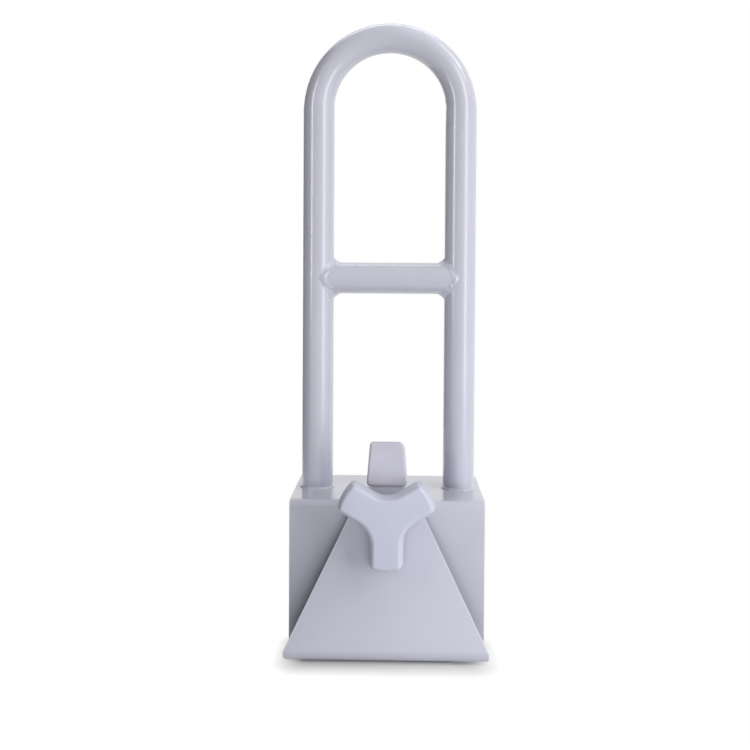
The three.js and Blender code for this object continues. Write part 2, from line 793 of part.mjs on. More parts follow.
function knobBody() {
  const outside = pillow(knobOutline(0), KNOB_THICK, KNOB_ROUNDING, 3);
  outside.translate(0, 0, LOBE_BACK + KNOB_THICK / 2);
  const coreTop = KNOB_FACE_OUT - KNOB_FACE_WALL;
  const core = alongZ(knobOutline(KNOB_WALL), LOBE_BACK - OVERRUN, coreTop);
  const hub = rod(HUB_R, HUB_BACK, coreTop + GAP);
  const bore = rod(INSERT_R + GAP, HUB_BACK - OVERRUN, INSERT_END + GAP);
  return cut(join(cut(outside, core), hub), bore);
}

function knobInsert() {
  return ring([
    [ROD_R + GAP, HUB_BACK + GAP],
    [INSERT_R, HUB_BACK + GAP],
    [INSERT_R, INSERT_END],
    [ROD_R + GAP, INSERT_END],
  ]);
}

// Assembly

function frameGroup() {
  const group = new THREE.Group();
  group.add(named("rail_tube", railTube(), MATERIALS.paint));
  group.add(named("crossbar", crossbar(), MATERIALS.paint));
  group.add(named("saddle", saddle(), MATERIALS.paint));
  group.add(named("nut_block", nutBlock(), MATERIALS.zinc));
  group.add(named("rim_pad", rimPad(), MATERIALS.rubber));
  group.add(named("hinge_pin", hingePin(), MATERIALS.zinc));
  group.add(named("hinge_pin_clip", pinClip(), MATERIALS.zinc));
  for (const [side, label] of [
    [-1, "left"],
    [1, "right"],
  ]) {
    group.add(named(`crossbar_weld_${label}`, barBead(side), MATERIALS.weld));
    group.add(named(`leg_weld_${label}`, legBead(side), MATERIALS.weld));
    group.add(named(`leg_end_plug_${label}`, legPlug(side), MATERIALS.plug));
    group.add(named(`hinge_lug_${label}`, hingeLug(side), MATERIALS.paint));
    group.add(named(`back_pad_${label}`, backPad(side), MATERIALS.rubber));
  }
  rivetPlaces().forEach((place, i) => {
    group.add(named(`back_pad_rivet_${i + 1}`, rivet(place), MATERIALS.zinc));
  });
  return group;
}

function plateGroup() {
  const group = new THREE.Group();
  group.position.set(0, PIN_Y, PIN_Z);
  group.rotation.x = -LEAN;
  group.add(named("clamp_plate", clampPlate(), MATERIALS.paint));
  group.add(named("plate_knuckle", plateKnuckle(), MATERIALS.paint));
  group.add(named("tongue_cap", tongueCap(), MATERIALS.cap));
  group.add(named("toe_pad", toePad(), MATERIALS.rubber));
  return group;
}

function screwGroup() {
  const group = new THREE.Group();
  group.position.set(0, ROD_Y, ROD_Z);
  group.rotation.x = Math.PI / 2 - TILT;
  group.add(named("front_washer", washer(FRONT_WASHER_R, FRONT_WASHER_END, 1), MATERIALS.zinc));
  group.add(named("rear_washer", washer(REAR_WASHER_R, REAR_WASHER_END, -1), MATERIALS.zinc));
  group.add(named("retaining_ring", retainingRing(), MATERIALS.zinc));
  group.add(named("threaded_rod", threadedRod(), MATERIALS.zinc));
  group.add(named("knob_body", knobBody(), MATERIALS.knob));
  group.add(named("knob_insert", knobInsert(), MATERIALS.brass));
  return group;
}

const rail = new THREE.Group();
rail.add(frameGroup(), plateGroup(), screwGroup());

export default rail;
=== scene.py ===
import json
import math
from contextlib import contextmanager

import bmesh
import bpy
from mathutils import Matrix, Quaternion, Vector, noise

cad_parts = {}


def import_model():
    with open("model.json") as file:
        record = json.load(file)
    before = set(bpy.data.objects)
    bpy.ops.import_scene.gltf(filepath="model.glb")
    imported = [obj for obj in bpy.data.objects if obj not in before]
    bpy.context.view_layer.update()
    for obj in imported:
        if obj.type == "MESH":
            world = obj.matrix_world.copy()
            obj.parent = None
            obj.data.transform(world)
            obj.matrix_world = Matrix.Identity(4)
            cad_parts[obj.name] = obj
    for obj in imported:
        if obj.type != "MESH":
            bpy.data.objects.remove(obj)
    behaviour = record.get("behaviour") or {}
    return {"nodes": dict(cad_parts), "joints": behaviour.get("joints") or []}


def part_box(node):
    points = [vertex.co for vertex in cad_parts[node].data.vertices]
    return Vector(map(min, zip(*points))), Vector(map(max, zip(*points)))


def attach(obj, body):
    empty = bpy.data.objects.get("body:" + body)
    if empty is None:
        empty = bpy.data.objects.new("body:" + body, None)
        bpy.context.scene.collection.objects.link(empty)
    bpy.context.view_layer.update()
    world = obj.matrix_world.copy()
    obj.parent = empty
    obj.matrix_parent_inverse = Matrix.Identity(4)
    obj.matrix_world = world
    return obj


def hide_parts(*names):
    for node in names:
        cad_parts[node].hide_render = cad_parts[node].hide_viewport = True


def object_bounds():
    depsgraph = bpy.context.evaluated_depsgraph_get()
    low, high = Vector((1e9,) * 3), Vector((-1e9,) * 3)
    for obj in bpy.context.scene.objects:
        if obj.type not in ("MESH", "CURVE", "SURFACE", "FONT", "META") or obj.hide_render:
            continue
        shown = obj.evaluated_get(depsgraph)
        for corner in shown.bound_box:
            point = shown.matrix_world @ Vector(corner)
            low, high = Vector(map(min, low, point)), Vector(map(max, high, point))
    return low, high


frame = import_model()
CAD_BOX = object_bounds()
JOINTS = {joint["name"]: joint for joint in frame["joints"]}
MM = 0.001

# Places taken from the frame
RAIL_LOW, RAIL_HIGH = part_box("rail_tube")
TUBE_R = RAIL_HIGH.y
LEG_X = RAIL_HIGH.x - TUBE_R
ARCH_Z = RAIL_HIGH.z - TUBE_R - LEG_X
BAR_Z = sum(corner.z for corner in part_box("crossbar")) / 2
SADDLE_LOW, SADDLE_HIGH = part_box("saddle")
TOP = SADDLE_HIGH.z
FLOOR = SADDLE_LOW.z
FRONT = SADDLE_LOW.y
BACK = SADDLE_HIGH.y
PIN_AT = Vector(JOINTS["plate_swing"]["pos_m"])
SCREW_AT = Vector(JOINTS["knob_turn"]["pos_m"])
SCREW_OUT = -Vector(JOINTS["knob_turn"]["axis"])

# Rail
TUBE_WALL = 1.5 * MM
BORE_R = TUBE_R - TUBE_WALL
BEND_FLATTENING_SHARE = 0.07
BAR_BEAD_EASE_SHARE = 0.93
LEG_BEAD = 1.8 * MM
BEAD_RIPPLE = 2.1 * MM
BEAD_SUNK = 0.15 * MM

# Weld between the crossbar and a leg
WELD_ON_BAR, WELD_ON_BAR_MORE_AT_TOP = 3.4 * MM, 2.7 * MM
WELD_ON_LEG, WELD_ON_LEG_MORE_AT_TOP = 3.1 * MM, 1.3 * MM
WELD_PROUD = 0.55 * MM
WELD_SUNK = 0.5 * MM
WELD_HOLLOW_SHARE = 0.55
WELD_GRAIN, WELD_GRAIN_HEIGHT = 1.6 * MM, 0.42 * MM
WELD_LUMP, WELD_LUMP_HEIGHT = 4.5 * MM, 0.75 * MM

# Saddle
SHEET = 3 * MM
SHEET_EDGE = 0.55 * MM
SADDLE_BEND = 5 * MM
SADDLE_CORNER = 8 * MM
TOE_SLOT_WIDTH = 112 * MM
TOE_SLOT_HEIGHT = 8 * MM
ROD_HOLE_R = 5 * MM
ROD_DROP = 10 * MM
RIVETS = range(1, 5)
RIVET_HOLE_R = 2.3 * MM
PAD_EDGE = 0.4 * MM

# Clamp plate, in its own upright frame at the hinge pin
LEAN = math.radians(12)
PLATE = 2.5 * MM
PLATE_EDGE = 0.75 * MM
PLATE_STANDOFF = 5.476 * MM
NECK_WIDTH = 36 * MM
SHOULDER_RISE = 4.4 * MM
SHOULDER_CORNER = 3 * MM
TONGUE_WIDTH = 22 * MM
TONGUE_RISE = 36.4 * MM
TONGUE_CORNER = 3.5 * MM
TOE_WIDTH = 2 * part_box("clamp_plate")[1].x
TOE_EDGE_DROP = 116.7 * MM
TOE_BEND = 8 * MM
TOE_CORNER = 6 * MM
TOE_LIFT = 0.5 * MM
LIP_WIDTH = 100 * MM
LIP_CORNER = 4 * MM
ROD_SLOT_WIDTH = 9.5 * MM
ROD_SLOT_HEIGHT = 14 * MM
ROD_SLOT_DROP = 16.8 * MM
TOE_Y = -PLATE_STANDOFF - PLATE / 2 + TOE_BEND
TOE_Z = (FLOOR + TOE_LIFT + TOE_BEND - PIN_AT.z + TOE_Y * math.sin(LEAN)) / math.cos(LEAN)
LIP_EDGE_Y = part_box("clamp_plate")[1].y
LIP_LENGTH = LIP_EDGE_Y - PIN_AT.y - TOE_Y * math.cos(LEAN) - TOE_Z * math.sin(LEAN)

# Hinge
PIN_R = 2 * MM
PIN_HEAD_R = 3.2 * MM
PIN_HEAD_LENGTH = 1.4 * MM
CLIP_R = 3.6 * MM
LUG_R = 3.8 * MM
LUG_FORWARD = 3 * MM
KNUCKLE_R = 3.4 * MM

# Tongue cap
CAP_RISE = 38.6 * MM
CAP_FOOT_RISE = 4.6 * MM
CAP_FOOT_WIDTH = 31.5 * MM
CAP_TOP_WIDTH = 26.5 * MM
CAP_THICK = 6.1 * MM
CAP_LEFT_CORNER = 3 * MM
CAP_RIGHT_CORNER = 5.4 * MM
CAP_FOOT_CORNER = 3.4 * MM
CAP_ROUNDING = 2.1 * MM

# Screw and knob, in the screw's frame with +Z out along the rod
ROD_R = 4 * MM
THREAD_PITCH = 1.25 * MM
THREAD_DEPTH = 0.68 * MM
ROD_CHAMFER = 1 * MM
KNOB_FACE_OUT = 28.15 * MM
KNOB_THICK = 18 * MM
KNOB_R = 37.9 * MM
LOBES = 3
LOBE_HALF_WIDTH = 12.9 * MM
LOBE_CORNER = 5 * MM
LOBE_FILLET = 18 * MM
KNOB_DRAFT = 1.2 * MM
KNOB_ROUNDING = 3.4 * MM
KNOB_ROUNDING_DEPTH = 5 * MM
KNOB_WALL = 3 * MM
KNOB_FACE_WALL = 4.5 * MM
KNOB_RIM_ROUNDING = 0.8 * MM
HUB_R = 11.5 * MM
INSERT_R = 6.8 * MM
FRONT_WASHER_R = 9 * MM
REAR_WASHER_R = 7 * MM
DOME_R = 20 * MM

# Clearance between pieces that are fixed to each other
GAP = 0.3 * MM

# Points nearer than this are one
MERGE = 0.001 * MM

# Share of the largest radius that a full round takes, so that its arcs don't quite meet
FULL_ROUND_SHARE = 0.98

PLATE_FRAME = Matrix.Translation(PIN_AT) @ Matrix.Rotation(-LEAN, 4, "X")
PIN_FRAME = Matrix.Translation((0, PIN_AT.y, PIN_AT.z)) @ Matrix.Rotation(math.pi / 2, 4, "Y")
SCREW_TILT = math.asin(SCREW_OUT.z)
SCREW_FRAME = Matrix.Translation(SCREW_AT) @ Matrix.Rotation(math.pi / 2 - SCREW_TILT, 4, "X")
ROW_FRAME = Matrix.Identity(4)
RIGHT, UP = Vector((1, 0, 0)), Vector((0, 0, 1))


# Materials

def linear(red, green, blue):
    """A colour written as 0 to 255 per channel, as shader sockets take it."""
    def channel(value):
        share = value / 255
        return share / 12.92 if share <= 0.04045 else ((share + 0.055) / 1.055) ** 2.4
    return (channel(red), channel(green), channel(blue), 1)


def assign(thing, **settings):
    """Sets several properties of a thing, and hands it back."""
    for key, value in settings.items():
        setattr(thing, key, value)
    return thing


def empty_tree(owner):
    """The node tree of a material or a world, with nothing in it yet."""
    owner.use_nodes = True
    owner.node_tree.nodes.clear()
    return owner.node_tree


def feed(tree, socket, value):
    """Links a socket to an output, or gives it a plain value."""
    if isinstance(value, bpy.types.NodeSocket):
        tree.links.new(value, socket)
    else:
        socket.default_value = value


def add_node(tree, kind, fed=None, **settings):
    """A new node, and what its inputs are fed with, by their names or places."""
    node = assign(tree.nodes.new(kind), **settings)
    for key, value in (fed or {}).items():
        feed(tree, node.inputs[key], value)
    return node


class Look:
    """A material whose nodes are added and joined by short calls."""

    def __init__(self, name, roughness, metallic=0.0):
        self.material = bpy.data.materials.new(name)
        self.tree = empty_tree(self.material)
        fed = {"Roughness": roughness, "Metallic": metallic}
        self.shader = self.add("ShaderNodeBsdfPrincipled", fed)
        self.add("ShaderNodeOutputMaterial", {"Surface": self.shader.outputs["BSDF"]})
        self.place = self.add("ShaderNodeTexCoord").outputs["Object"]

    def add(self, kind, fed=None, **settings):
        return add_node(self.tree, kind, fed, **settings)

    def set(self, **values):
        """Gives inputs of the shader their values or links, with _ for the spaces in their names."""
        for name, value in values.items():
            feed(self.tree, self.shader.inputs[name.replace("_", " ")], value)

    def noise(self, size, detail=2.0, roughness=0.5, stretch=(1, 1, 1)):
        """A noise whose features are about size across."""
        place = self.add("ShaderNodeMapping", {"Vector": self.place, "Scale": stretch}).outputs["Vector"]
        fed = {"Vector": place, "Scale": 1 / size, "Detail": detail, "Roughness": roughness}
        return self.add("ShaderNodeTexNoise", fed).outputs["Fac"]

    def remap(self, value, low, high, start=0.3, end=0.7):
        fed = {"Value": value, "From Min": start, "From Max": end, "To Min": low, "To Max": high}
        return self.add("ShaderNodeMapRange", fed).outputs["Result"]

    def mix(self, factor, first, second):
        """Blends two colours, each a fixed colour or a socket. Their sockets are found by their places."""
        first_place, second_place, result_place = 6, 7, 2
        fed = {"Factor": factor, first_place: first, second_place: second}
        return self.add("ShaderNodeMix", fed, data_type="RGBA").outputs[result_place]

    def mottled(self, first, second, *noise_shape):
        """A colour that drifts between two others in soft clouds."""
        return self.mix(self.remap(self.noise(*noise_shape), 0, 1), first, second)

    def surface(self, colour, smoothest, roughest, *noise_shape):
        """Sets the colour, and a roughness that drifts between two values."""
        self.set(Base_Color=colour, Roughness=self.remap(self.noise(*noise_shape), smoothest, roughest))

    def edges(self, reach, start=0.9, end=0.5):
        """0 on flat stretches and 1 on outer edges, where another face is within reach under the surface."""
        settings = {"inside": True, "only_local": True, "samples": 4}
        node = self.add("ShaderNodeAmbientOcclusion", {"Distance": reach}, **settings)
        return self.remap(node.outputs["AO"], 0, 1, start, end)

    def bump(self, height, distance):
        """Adds a relief of the given height to those already there."""
        fed, normal = {"Distance": distance, "Height": height}, self.shader.inputs["Normal"]
        if normal.links:
            fed["Normal"] = normal.links[0].from_socket
        self.set(Normal=self.add("ShaderNodeBump", fed).outputs["Normal"])


def powder_coat(name, worn_and_highlit_edges):
    look = Look(name, 0.34)
    cloud = look.remap(look.noise(45 * MM, 1), 0, 1, 0.1, 0.9)
    coat = look.mix(cloud, linear(194, 194, 207), linear(199, 199, 212))
    # Outer edges painted lighter: partly wear of the coat, partly a painted highlight standing in for the
    # bright rims of light along them.
    if worn_and_highlit_edges:
        coat = look.mix(look.edges(1.2 * MM), coat, linear(226, 227, 236))
    gloss = look.remap(look.noise(12 * MM, 2), 0.27, 0.31, 0.2, 0.8)
    look.set(Base_Color=coat, Roughness=gloss, Coat_Weight=0.75, Coat_Roughness=0.17)
    look.bump(look.noise(2.4 * MM, 1, 0.4), 0.005 * MM)
    look.bump(look.noise(0.5 * MM, 2, 0.6), 0.002 * MM)
    return look.material


def knob_plastic():
    look = Look("knob_plastic", 0.45)
    body = look.mottled(linear(192, 194, 209), linear(197, 199, 213), 22 * MM, 2, 0.5, (1, 1, 0.5))
    # The rounded rims are painted lighter: a painted highlight along the knob's edges.
    knob_rim_highlight = look.edges(2.6 * MM, 0.96, 0.7)
    look.surface(look.mix(knob_rim_highlight, body, linear(207, 209, 222)), 0.4, 0.52, 6 * MM, 4)
    look.bump(look.noise(0.35 * MM, 2, 0.6), 0.006 * MM)
    look.bump(look.noise(11 * MM, 1), 0.03 * MM)
    return look.material


def cap_vinyl():
    look = Look("cap_vinyl", 0.62)
    body = look.mottled(linear(193, 190, 202), linear(199, 197, 209), 14 * MM, 3)
    # The rounded edges are painted lighter: a painted highlight that also offsets the shade on the rounds.
    cap_rim_highlight = look.edges(1.2 * MM, 0.95, 0.6)
    look.surface(look.mix(cap_rim_highlight, body, linear(224, 223, 232)), 0.55, 0.7, 3 * MM, 3)
    look.set(Sheen_Weight=0.08)
    look.bump(look.noise(0.45 * MM, 3, 0.65), 0.012 * MM)
    return look.material


def pad_rubber():
    look = Look("pad_rubber", 0.8)
    body = look.mottled(linear(70, 71, 76), linear(84, 85, 90), 12 * MM, 4, 0.6)
    # The outer edges are lighter than the rest of the pad.
    lightened_pad_edges = look.edges(0.8 * MM)
    look.surface(look.mix(lightened_pad_edges, body, linear(104, 105, 109)), 0.7, 0.88, 4 * MM, 3)
    look.bump(look.noise(0.4 * MM, 3, 0.7), 0.02 * MM)
    return look.material


def zinc_steel():
    look = Look("zinc_steel", 0.32, 1.0)
    body = look.mottled(linear(176, 179, 184), linear(201, 203, 205), 5 * MM, 4, 0.6)
    # The outer edges are painted brighter: a painted highlight along them.
    zinc_edge_highlight = look.edges(0.5 * MM)
    look.surface(look.mix(zinc_edge_highlight, body, linear(222, 223, 224)), 0.24, 0.44, 1.5 * MM, 4, 0.6)
    look.bump(look.noise(0.3 * MM, 2, 0.5, (0.2, 1, 1)), 0.006 * MM)
    return look.material


def insert_brass():
    look = Look("insert_brass", 0.3, 1.0)
    body = look.mottled(linear(196, 164, 98), linear(170, 138, 82), 3 * MM, 4, 0.6)
    look.surface(body, 0.24, 0.42, 1 * MM, 3)
    fed = {"Vector": look.place, "Scale": 1 / MM}
    tool_marks = look.add("ShaderNodeTexWave", fed, wave_type="RINGS", rings_direction="Y")
    look.bump(tool_marks.outputs["Fac"], 0.004 * MM)
    return look.material


def plug_plastic():
    look = Look("plug_plastic", 0.55)
    look.surface(look.mottled(linear(48, 49, 53), linear(60, 61, 65), 7 * MM, 3), 0.48, 0.62, 2 * MM, 3)
    look.bump(look.noise(0.4 * MM, 2), 0.01 * MM)
    return look.material


LOOKS = {
    "frame_paint": powder_coat("frame_paint", True),
    "weld_paint": powder_coat("frame_paint_on_welds", False),
    "knob_plastic": knob_plastic(),
    "cap_vinyl": cap_vinyl(),
    "pad_rubber": pad_rubber(),
    "zinc_steel": zinc_steel(),
    "insert_brass": insert_brass(),
    "plug_plastic": plug_plastic(),
}


# Outlines: corners are (u, v, radius), and run anticlockwise

def with_sides(corners):
    """Each corner's place, the ways of the sides that come to it and leave it, and its radius."""
    for i, (u, v, radius) in enumerate(corners):
        here = Vector((u, v))
        before = (here - Vector(corners[i - 1][:2])).normalized()
        after = (Vector(corners[(i + 1) % len(corners)][:2]) - here).normalized()
        yield here, before, after, radius


def rounded(corners, steps=8):
    """The points of an outline whose corners are rounded to their radii."""
    points = []
    for here, before, ahead, radius in with_sides(corners):
        if radius <= 0:
            points.append(here)
            continue
        back = -before
        half = back.angle(ahead) / 2
        start = here + back * (radius / math.tan(half))
        end = here + ahead * (radius / math.tan(half))
        centre = here + (back + ahead).normalized() * (radius / math.sin(half))
        first = math.atan2(*reversed(start - centre))
        turn = math.remainder(math.atan2(*reversed(end - centre)) - first, 2 * math.pi)
        for k in range(steps + 1):
            angle = first + turn * k / steps
            points.append(centre + radius * pointing(angle))
    return points


def inset(corners, distance):
    """The same corners with each side moved in by distance, and the radii to match."""
    moved, sharpest = [], 0.1 * MM
    for here, before, after, radius in with_sides(corners):
        inward = before.orthogonal() + after.orthogonal()
        point = here + inward * (distance / (1 + before.dot(after)))
        outer = before.x * after.y - before.y * after.x > 0
        fitted = max(radius - distance, sharpest) if outer else radius + distance
        moved.append((point.x, point.y, fitted if radius else 0))
    return moved


def rectangle(u0, v0, u1, v1, radius=0.0):
    return [(u0, v0, radius), (u1, v0, radius), (u1, v1, radius), (u0, v1, radius)]


def polar(radius, angle):
    return radius * math.cos(angle), radius * math.sin(angle)


def pointing(angle):
    """The way that an angle points. Its orthogonal way is on its left."""
    return Vector(polar(1, angle))


def turns(count):
    """Angles that go evenly round a full turn."""
    return [2 * math.pi * k / count for k in range(count)]


def quarter_round(steps):
    """For each step of a quarter round, the share left to go one way and the share gone the other way."""
    angles = [math.pi / 2 * k / steps for k in range(steps + 1)]
    return [(1 - math.sin(a), 1 - math.cos(a)) for a in angles]


def arc(centre, radius, start, end, steps):
    """Points of an arc, with its last one left to what follows."""
    (u, v), angles = centre, [start + (end - start) * k / steps for k in range(steps)]
    return [Vector((u + radius * math.cos(a), v + radius * math.sin(a))) for a in angles]


def circle(u, v, radius, sides=48):
    return arc((u, v), radius, 0, 2 * math.pi, sides)


# Meshes

@contextmanager
def edited(mesh):
    """Lends a mesh out to be worked on, and takes back what was made of it."""
    work = bmesh.new()
    work.from_mesh(mesh)
    yield work
    work.to_mesh(mesh)
    work.free()


def make_object(points, faces, to_row=ROW_FRAME):
    """A mesh of the given points, carried into the row frame, with its faces pointing out."""
    mesh = bpy.data.meshes.new("piece")
    mesh.from_pydata([to_row @ Vector(p) for p in points], [], faces)
    with edited(mesh) as work:
        bmesh.ops.remove_doubles(work, verts=work.verts, dist=MERGE)
        bmesh.ops.recalc_face_normals(work, faces=work.faces)
    made = bpy.data.objects.new("piece", mesh)
    bpy.context.scene.collection.objects.link(made)
    return made


def loft_faces(rings, count, closed):
    """Quads between neighbouring rings of count points each."""
    faces = []
    for i in range(rings if closed else rings - 1):
        here, there = i * count, (i + 1) % rings * count
        for k in range(count):
            after = (k + 1) % count
            faces.append((here + k, here + after, there + after, there + k))
    return faces


def loft(rings, to_row=ROW_FRAME, closed=False):
    """A solid through rings of points: it closes on itself, or has a cap at each end."""
    count = len(rings[0])
    points = [p for ring in rings for p in ring]
    faces = loft_faces(len(rings), count, closed)
    if not closed:
        faces += [tuple(range(count)), tuple(range(len(points) - count, len(points)))]
    return make_object(points, faces, to_row)


def lathe(profile, to_row=ROW_FRAME, sides=64, closed=False):
    """Turns (radius, z) points about Z. A closed profile makes a ring."""
    points = [(*polar(r, a), z) for a in turns(sides) for r, z in profile]
    count, faces = len(profile), []
    for i in range(sides):
        here, there = i * count, (i + 1) % sides * count
        for k in range(count if closed else count - 1):
            after = (k + 1) % count
            faces.append((here + k, there + k, there + after, here + after))
    return without_slivers(make_object(points, faces, to_row))


def without_slivers(made):
    """Deletes the faces that have no area, which a lathe leaves on its axis."""
    with edited(made.data) as work:
        bmesh.ops.dissolve_degenerate(work, dist=MERGE, edges=work.edges)
        bmesh.ops.recalc_face_normals(work, faces=work.faces)
    return made


AXES = {
    "X": lambda u, v, w: (w, u, v),
    "Y": lambda u, v, w: (u, w, v),
    "Z": lambda u, v, w: (u, v, w),
}


def prism(outline, low, high, axis="Z", to_row=ROW_FRAME):
    """An outline carried straight along an axis, from low to high."""
    at = AXES[axis]
    return loft([[at(p[0], p[1], w) for p in outline] for w in (low, high)], to_row)


def slab(corners, low, high, rounding, axis="Z", to_row=ROW_FRAME, steps=6):
    """A prism with rounded corners whose two faces also meet its sides in rounds."""
    at = AXES[axis]
    levels = [(rounding * inward, low + rounding * up) for inward, up in quarter_round(steps)]
    levels += [(distance, low + high - level) for distance, level in reversed(levels)]
    outlines = [(rounded(inset(corners, distance)), level) for distance, level in levels]
    return loft([[at(p.x, p.y, level) for p in outline] for outline, level in outlines], to_row)


def settle(made):
    """Bakes the modifiers of an object into its mesh."""
    graph = bpy.context.evaluated_depsgraph_get()
    mesh = bpy.data.meshes.new_from_object(made.evaluated_get(graph))
    made.modifiers.clear()
    made.data = mesh
    return made


def carve(made, *tools, operation="DIFFERENCE"):
    """Cuts the tools out of an object, or keeps what they share with it, and deletes them."""
    for tool in tools:
        step = made.modifiers.new("carve", "BOOLEAN")
        assign(step, operation=operation, solver="EXACT", object=tool)
    settle(made)
    for tool in tools:
        bpy.data.objects.remove(tool)
    return made


def drilled(made, radius, low, high, axis="Z", place=SCREW_FRAME, centre=(0, 0), sides=48):
    """Cuts a round hole along an axis, with room round what goes into it."""
    hole = circle(*centre, radius + GAP, sides)
    return carve(made, prism(hole, low, high, axis, place))


def bevel(made, width, segments=3, angle=35):
    step = assign(made.modifiers.new("bevel", "BEVEL"), width=width, segments=segments)
    assign(step, limit_method="ANGLE", angle_limit=math.radians(angle), use_clamp_overlap=True)
    return settle(made)


def smooth(made):
    """Smooth shading in which the large flat faces stay flat and the sharp edges stay sharp."""
    sharp = math.radians(50)
    for face in made.data.polygons:
        face.use_smooth = True
    with edited(made.data) as work:
        for edge in work.edges:
            edge.smooth = len(edge.link_faces) == 2 and edge.calc_face_angle() < sharp
    assign(made.modifiers.new("weight", "WEIGHTED_NORMAL"), keep_sharp=True, weight=80)
    return settle(made)


def dress(made, slot, body, node, look=None):
    """Gives a piece its name, its material, its body and the CAD node that it stands for."""
    smooth(made)
    made.name = made.data.name = f"{node}_fine"
    made.data.materials.clear()
    made.data.materials.append(LOOKS[look or slot])
    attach(made, body)
    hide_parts(node)
    return made


def turned(node, slot, body, profile, place=SCREW_FRAME, sides=64, closed=False):
    """A piece that a lathe would make from its profile."""
    return dress(lathe(profile, place, sides, closed), slot, body, node)


class Fold:
    """Carries a flat pattern onto a folded sheet that lies in (y, z).
    x stays as it is, s runs along the sheet's middle from its start, and t stands off to its left."""

    def __init__(self, start, heading, runs):
        """runs holds (straight length, turn to the left, radius of the middle) for each stretch."""
        self.stretches = []
        here, angle, s = Vector(start), heading, 0.0
        for length, turn, radius in runs:
            self.stretches.append((s, here.copy(), angle, 0.0, 0.0))
            here = here + length * pointing(angle)
            s += length
            if turn:
                self.stretches.append((s, here.copy(), angle, turn, radius))
                here, angle = self.along(self.stretches[-1], abs(turn) * radius)
                s += abs(turn) * radius
        self.length = s

    @staticmethod
    def along(stretch, distance):
        _, start, angle, turn, radius = stretch
        if not turn:
            return start + distance * pointing(angle), angle
        side = math.copysign(1, turn)
        centre = start + side * radius * pointing(angle).orthogonal()
        passed = angle + side * distance / radius
        return centre - side * radius * pointing(passed).orthogonal(), passed

    def cuts(self):
        """The places along s where a flat pattern needs an edge to bend."""
        places, step = [], math.radians(4)
        for s, _, _, turn, radius in self.stretches:
            if turn:
                count = math.ceil(abs(turn) / step)
                places += [s + abs(turn) * radius * k / count for k in range(count + 1)]
        return places

    def carry(self, x, s, t):
        stretch = [one for one in self.stretches if one[0] <= s or one[0] == 0][-1]
        middle, angle = self.along(stretch, s - stretch[0])
        point = middle + t * pointing(angle).orthogonal()
        return Vector((x, point.x, point.y))


def folded_sheet(corners, holes, thick, edge, fold, to_row=ROW_FRAME):
    """A sheet cut flat in (x, s), with its edges eased, and then bent along its folds."""
    flat, on_cut = prism(rounded(corners), -thick / 2, thick / 2), MERGE / 10
    carve(flat, *[prism(hole, -thick, thick) for hole in holes])
    bevel(flat, edge)
    with edited(flat.data) as work:
        for place in fold.cuts():
            whole, plane = [*work.verts, *work.edges, *work.faces], {"plane_co": (0, place, 0)}
            bmesh.ops.bisect_plane(work, geom=whole, dist=on_cut, plane_no=(0, 1, 0), **plane)
        for vertex in work.verts:
            vertex.co = to_row @ fold.carry(*vertex.co)
        bmesh.ops.recalc_face_normals(work, faces=work.faces)
    return flat


# Rail

def rail_stations():
    """Points along the rail's centre line as (point, way out of the bend, share of the bend)."""
    straight_steps, arch_steps = 20, 96
    low = RAIL_LOW.z
    made = []
    for i in range(straight_steps):
        z = low + (ARCH_Z - low) * i / straight_steps
        made.append((Vector((-LEG_X, 0, z)), -RIGHT, 0.0))
    for i in range(arch_steps + 1):
        a = math.pi * (1 - i / arch_steps)
        out = Vector((math.cos(a), 0, math.sin(a)))
        made.append((Vector((0, 0, ARCH_Z)) + LEG_X * out, out, i / arch_steps))
    for i in range(1, straight_steps + 1):
        z = ARCH_Z + (low - ARCH_Z) * i / straight_steps
        made.append((Vector((LEG_X, 0, z)), RIGHT, 1.0))
    return made


def bend_wrinkle(point, across):
    """The shallow pinch on the inner side of the bend where the right leg begins."""
    depth, reach, rise = 0.35 * MM, 7 * MM, 2 * MM
    if across > 0 or point.x < 0:
        return 0.0
    away = (point.z - (ARCH_Z + rise)) / reach
    return depth * across ** 2 * math.exp(-away ** 2) * math.cos(away * math.pi)


def rail_ring(station, radius, sides):
    point, out, bent = station
    flat = BEND_FLATTENING_SHARE * math.sin(math.pi * bent) ** 0.5
    side = Vector((0, 1, 0))
    ring = []
    for a in turns(sides):
        across = math.cos(a)
        pinch = bend_wrinkle(point, across)
        wide = radius * (1 - flat) - pinch
        ring.append(point + out * (across * wide) + side * (math.sin(a) * (radius - pinch)))
    return ring


def rail_tube():
    """The bent tube, with its bore: the outer skin one way and the bore back."""
    sides, ease, stations = 72, 0.3 * MM, rail_stations()
    rings = [rail_ring(s, TUBE_R, sides) for s in stations]
    rings += [rail_ring(s, BORE_R, sides) for s in reversed(stations)]
    made = bevel(loft(rings, closed=True), ease, 2, 60)
    return dress(made, "frame_paint", "frame", "rail_tube")


def cope(y):
    """How far a leg and its clearance reach towards the crossbar, at the place y across the bar."""
    least_share = 0.18
    return math.sqrt(max((TUBE_R + GAP) ** 2 - y ** 2, (TUBE_R * least_share) ** 2))


def crossbar():
    sides, spans = 72, 36
    rings = []
    for radius, order in ((TUBE_R, 1), (BORE_R, -1)):
        section = [polar(radius, a) for a in turns(sides)]
        for i in range(spans + 1)[::order]:
            share = 2 * i / spans - 1
            rings.append([(share * (LEG_X - cope(y)), y, BAR_Z + z) for y, z in section])
    return dress(loft(rings, closed=True), "frame_paint", "frame", "crossbar")


def lump(point, size, seed):
    """A smooth random value from -1 to 1 that changes over size."""
    return noise.noise(Vector(point) / size + Vector((seed, seed, seed)))


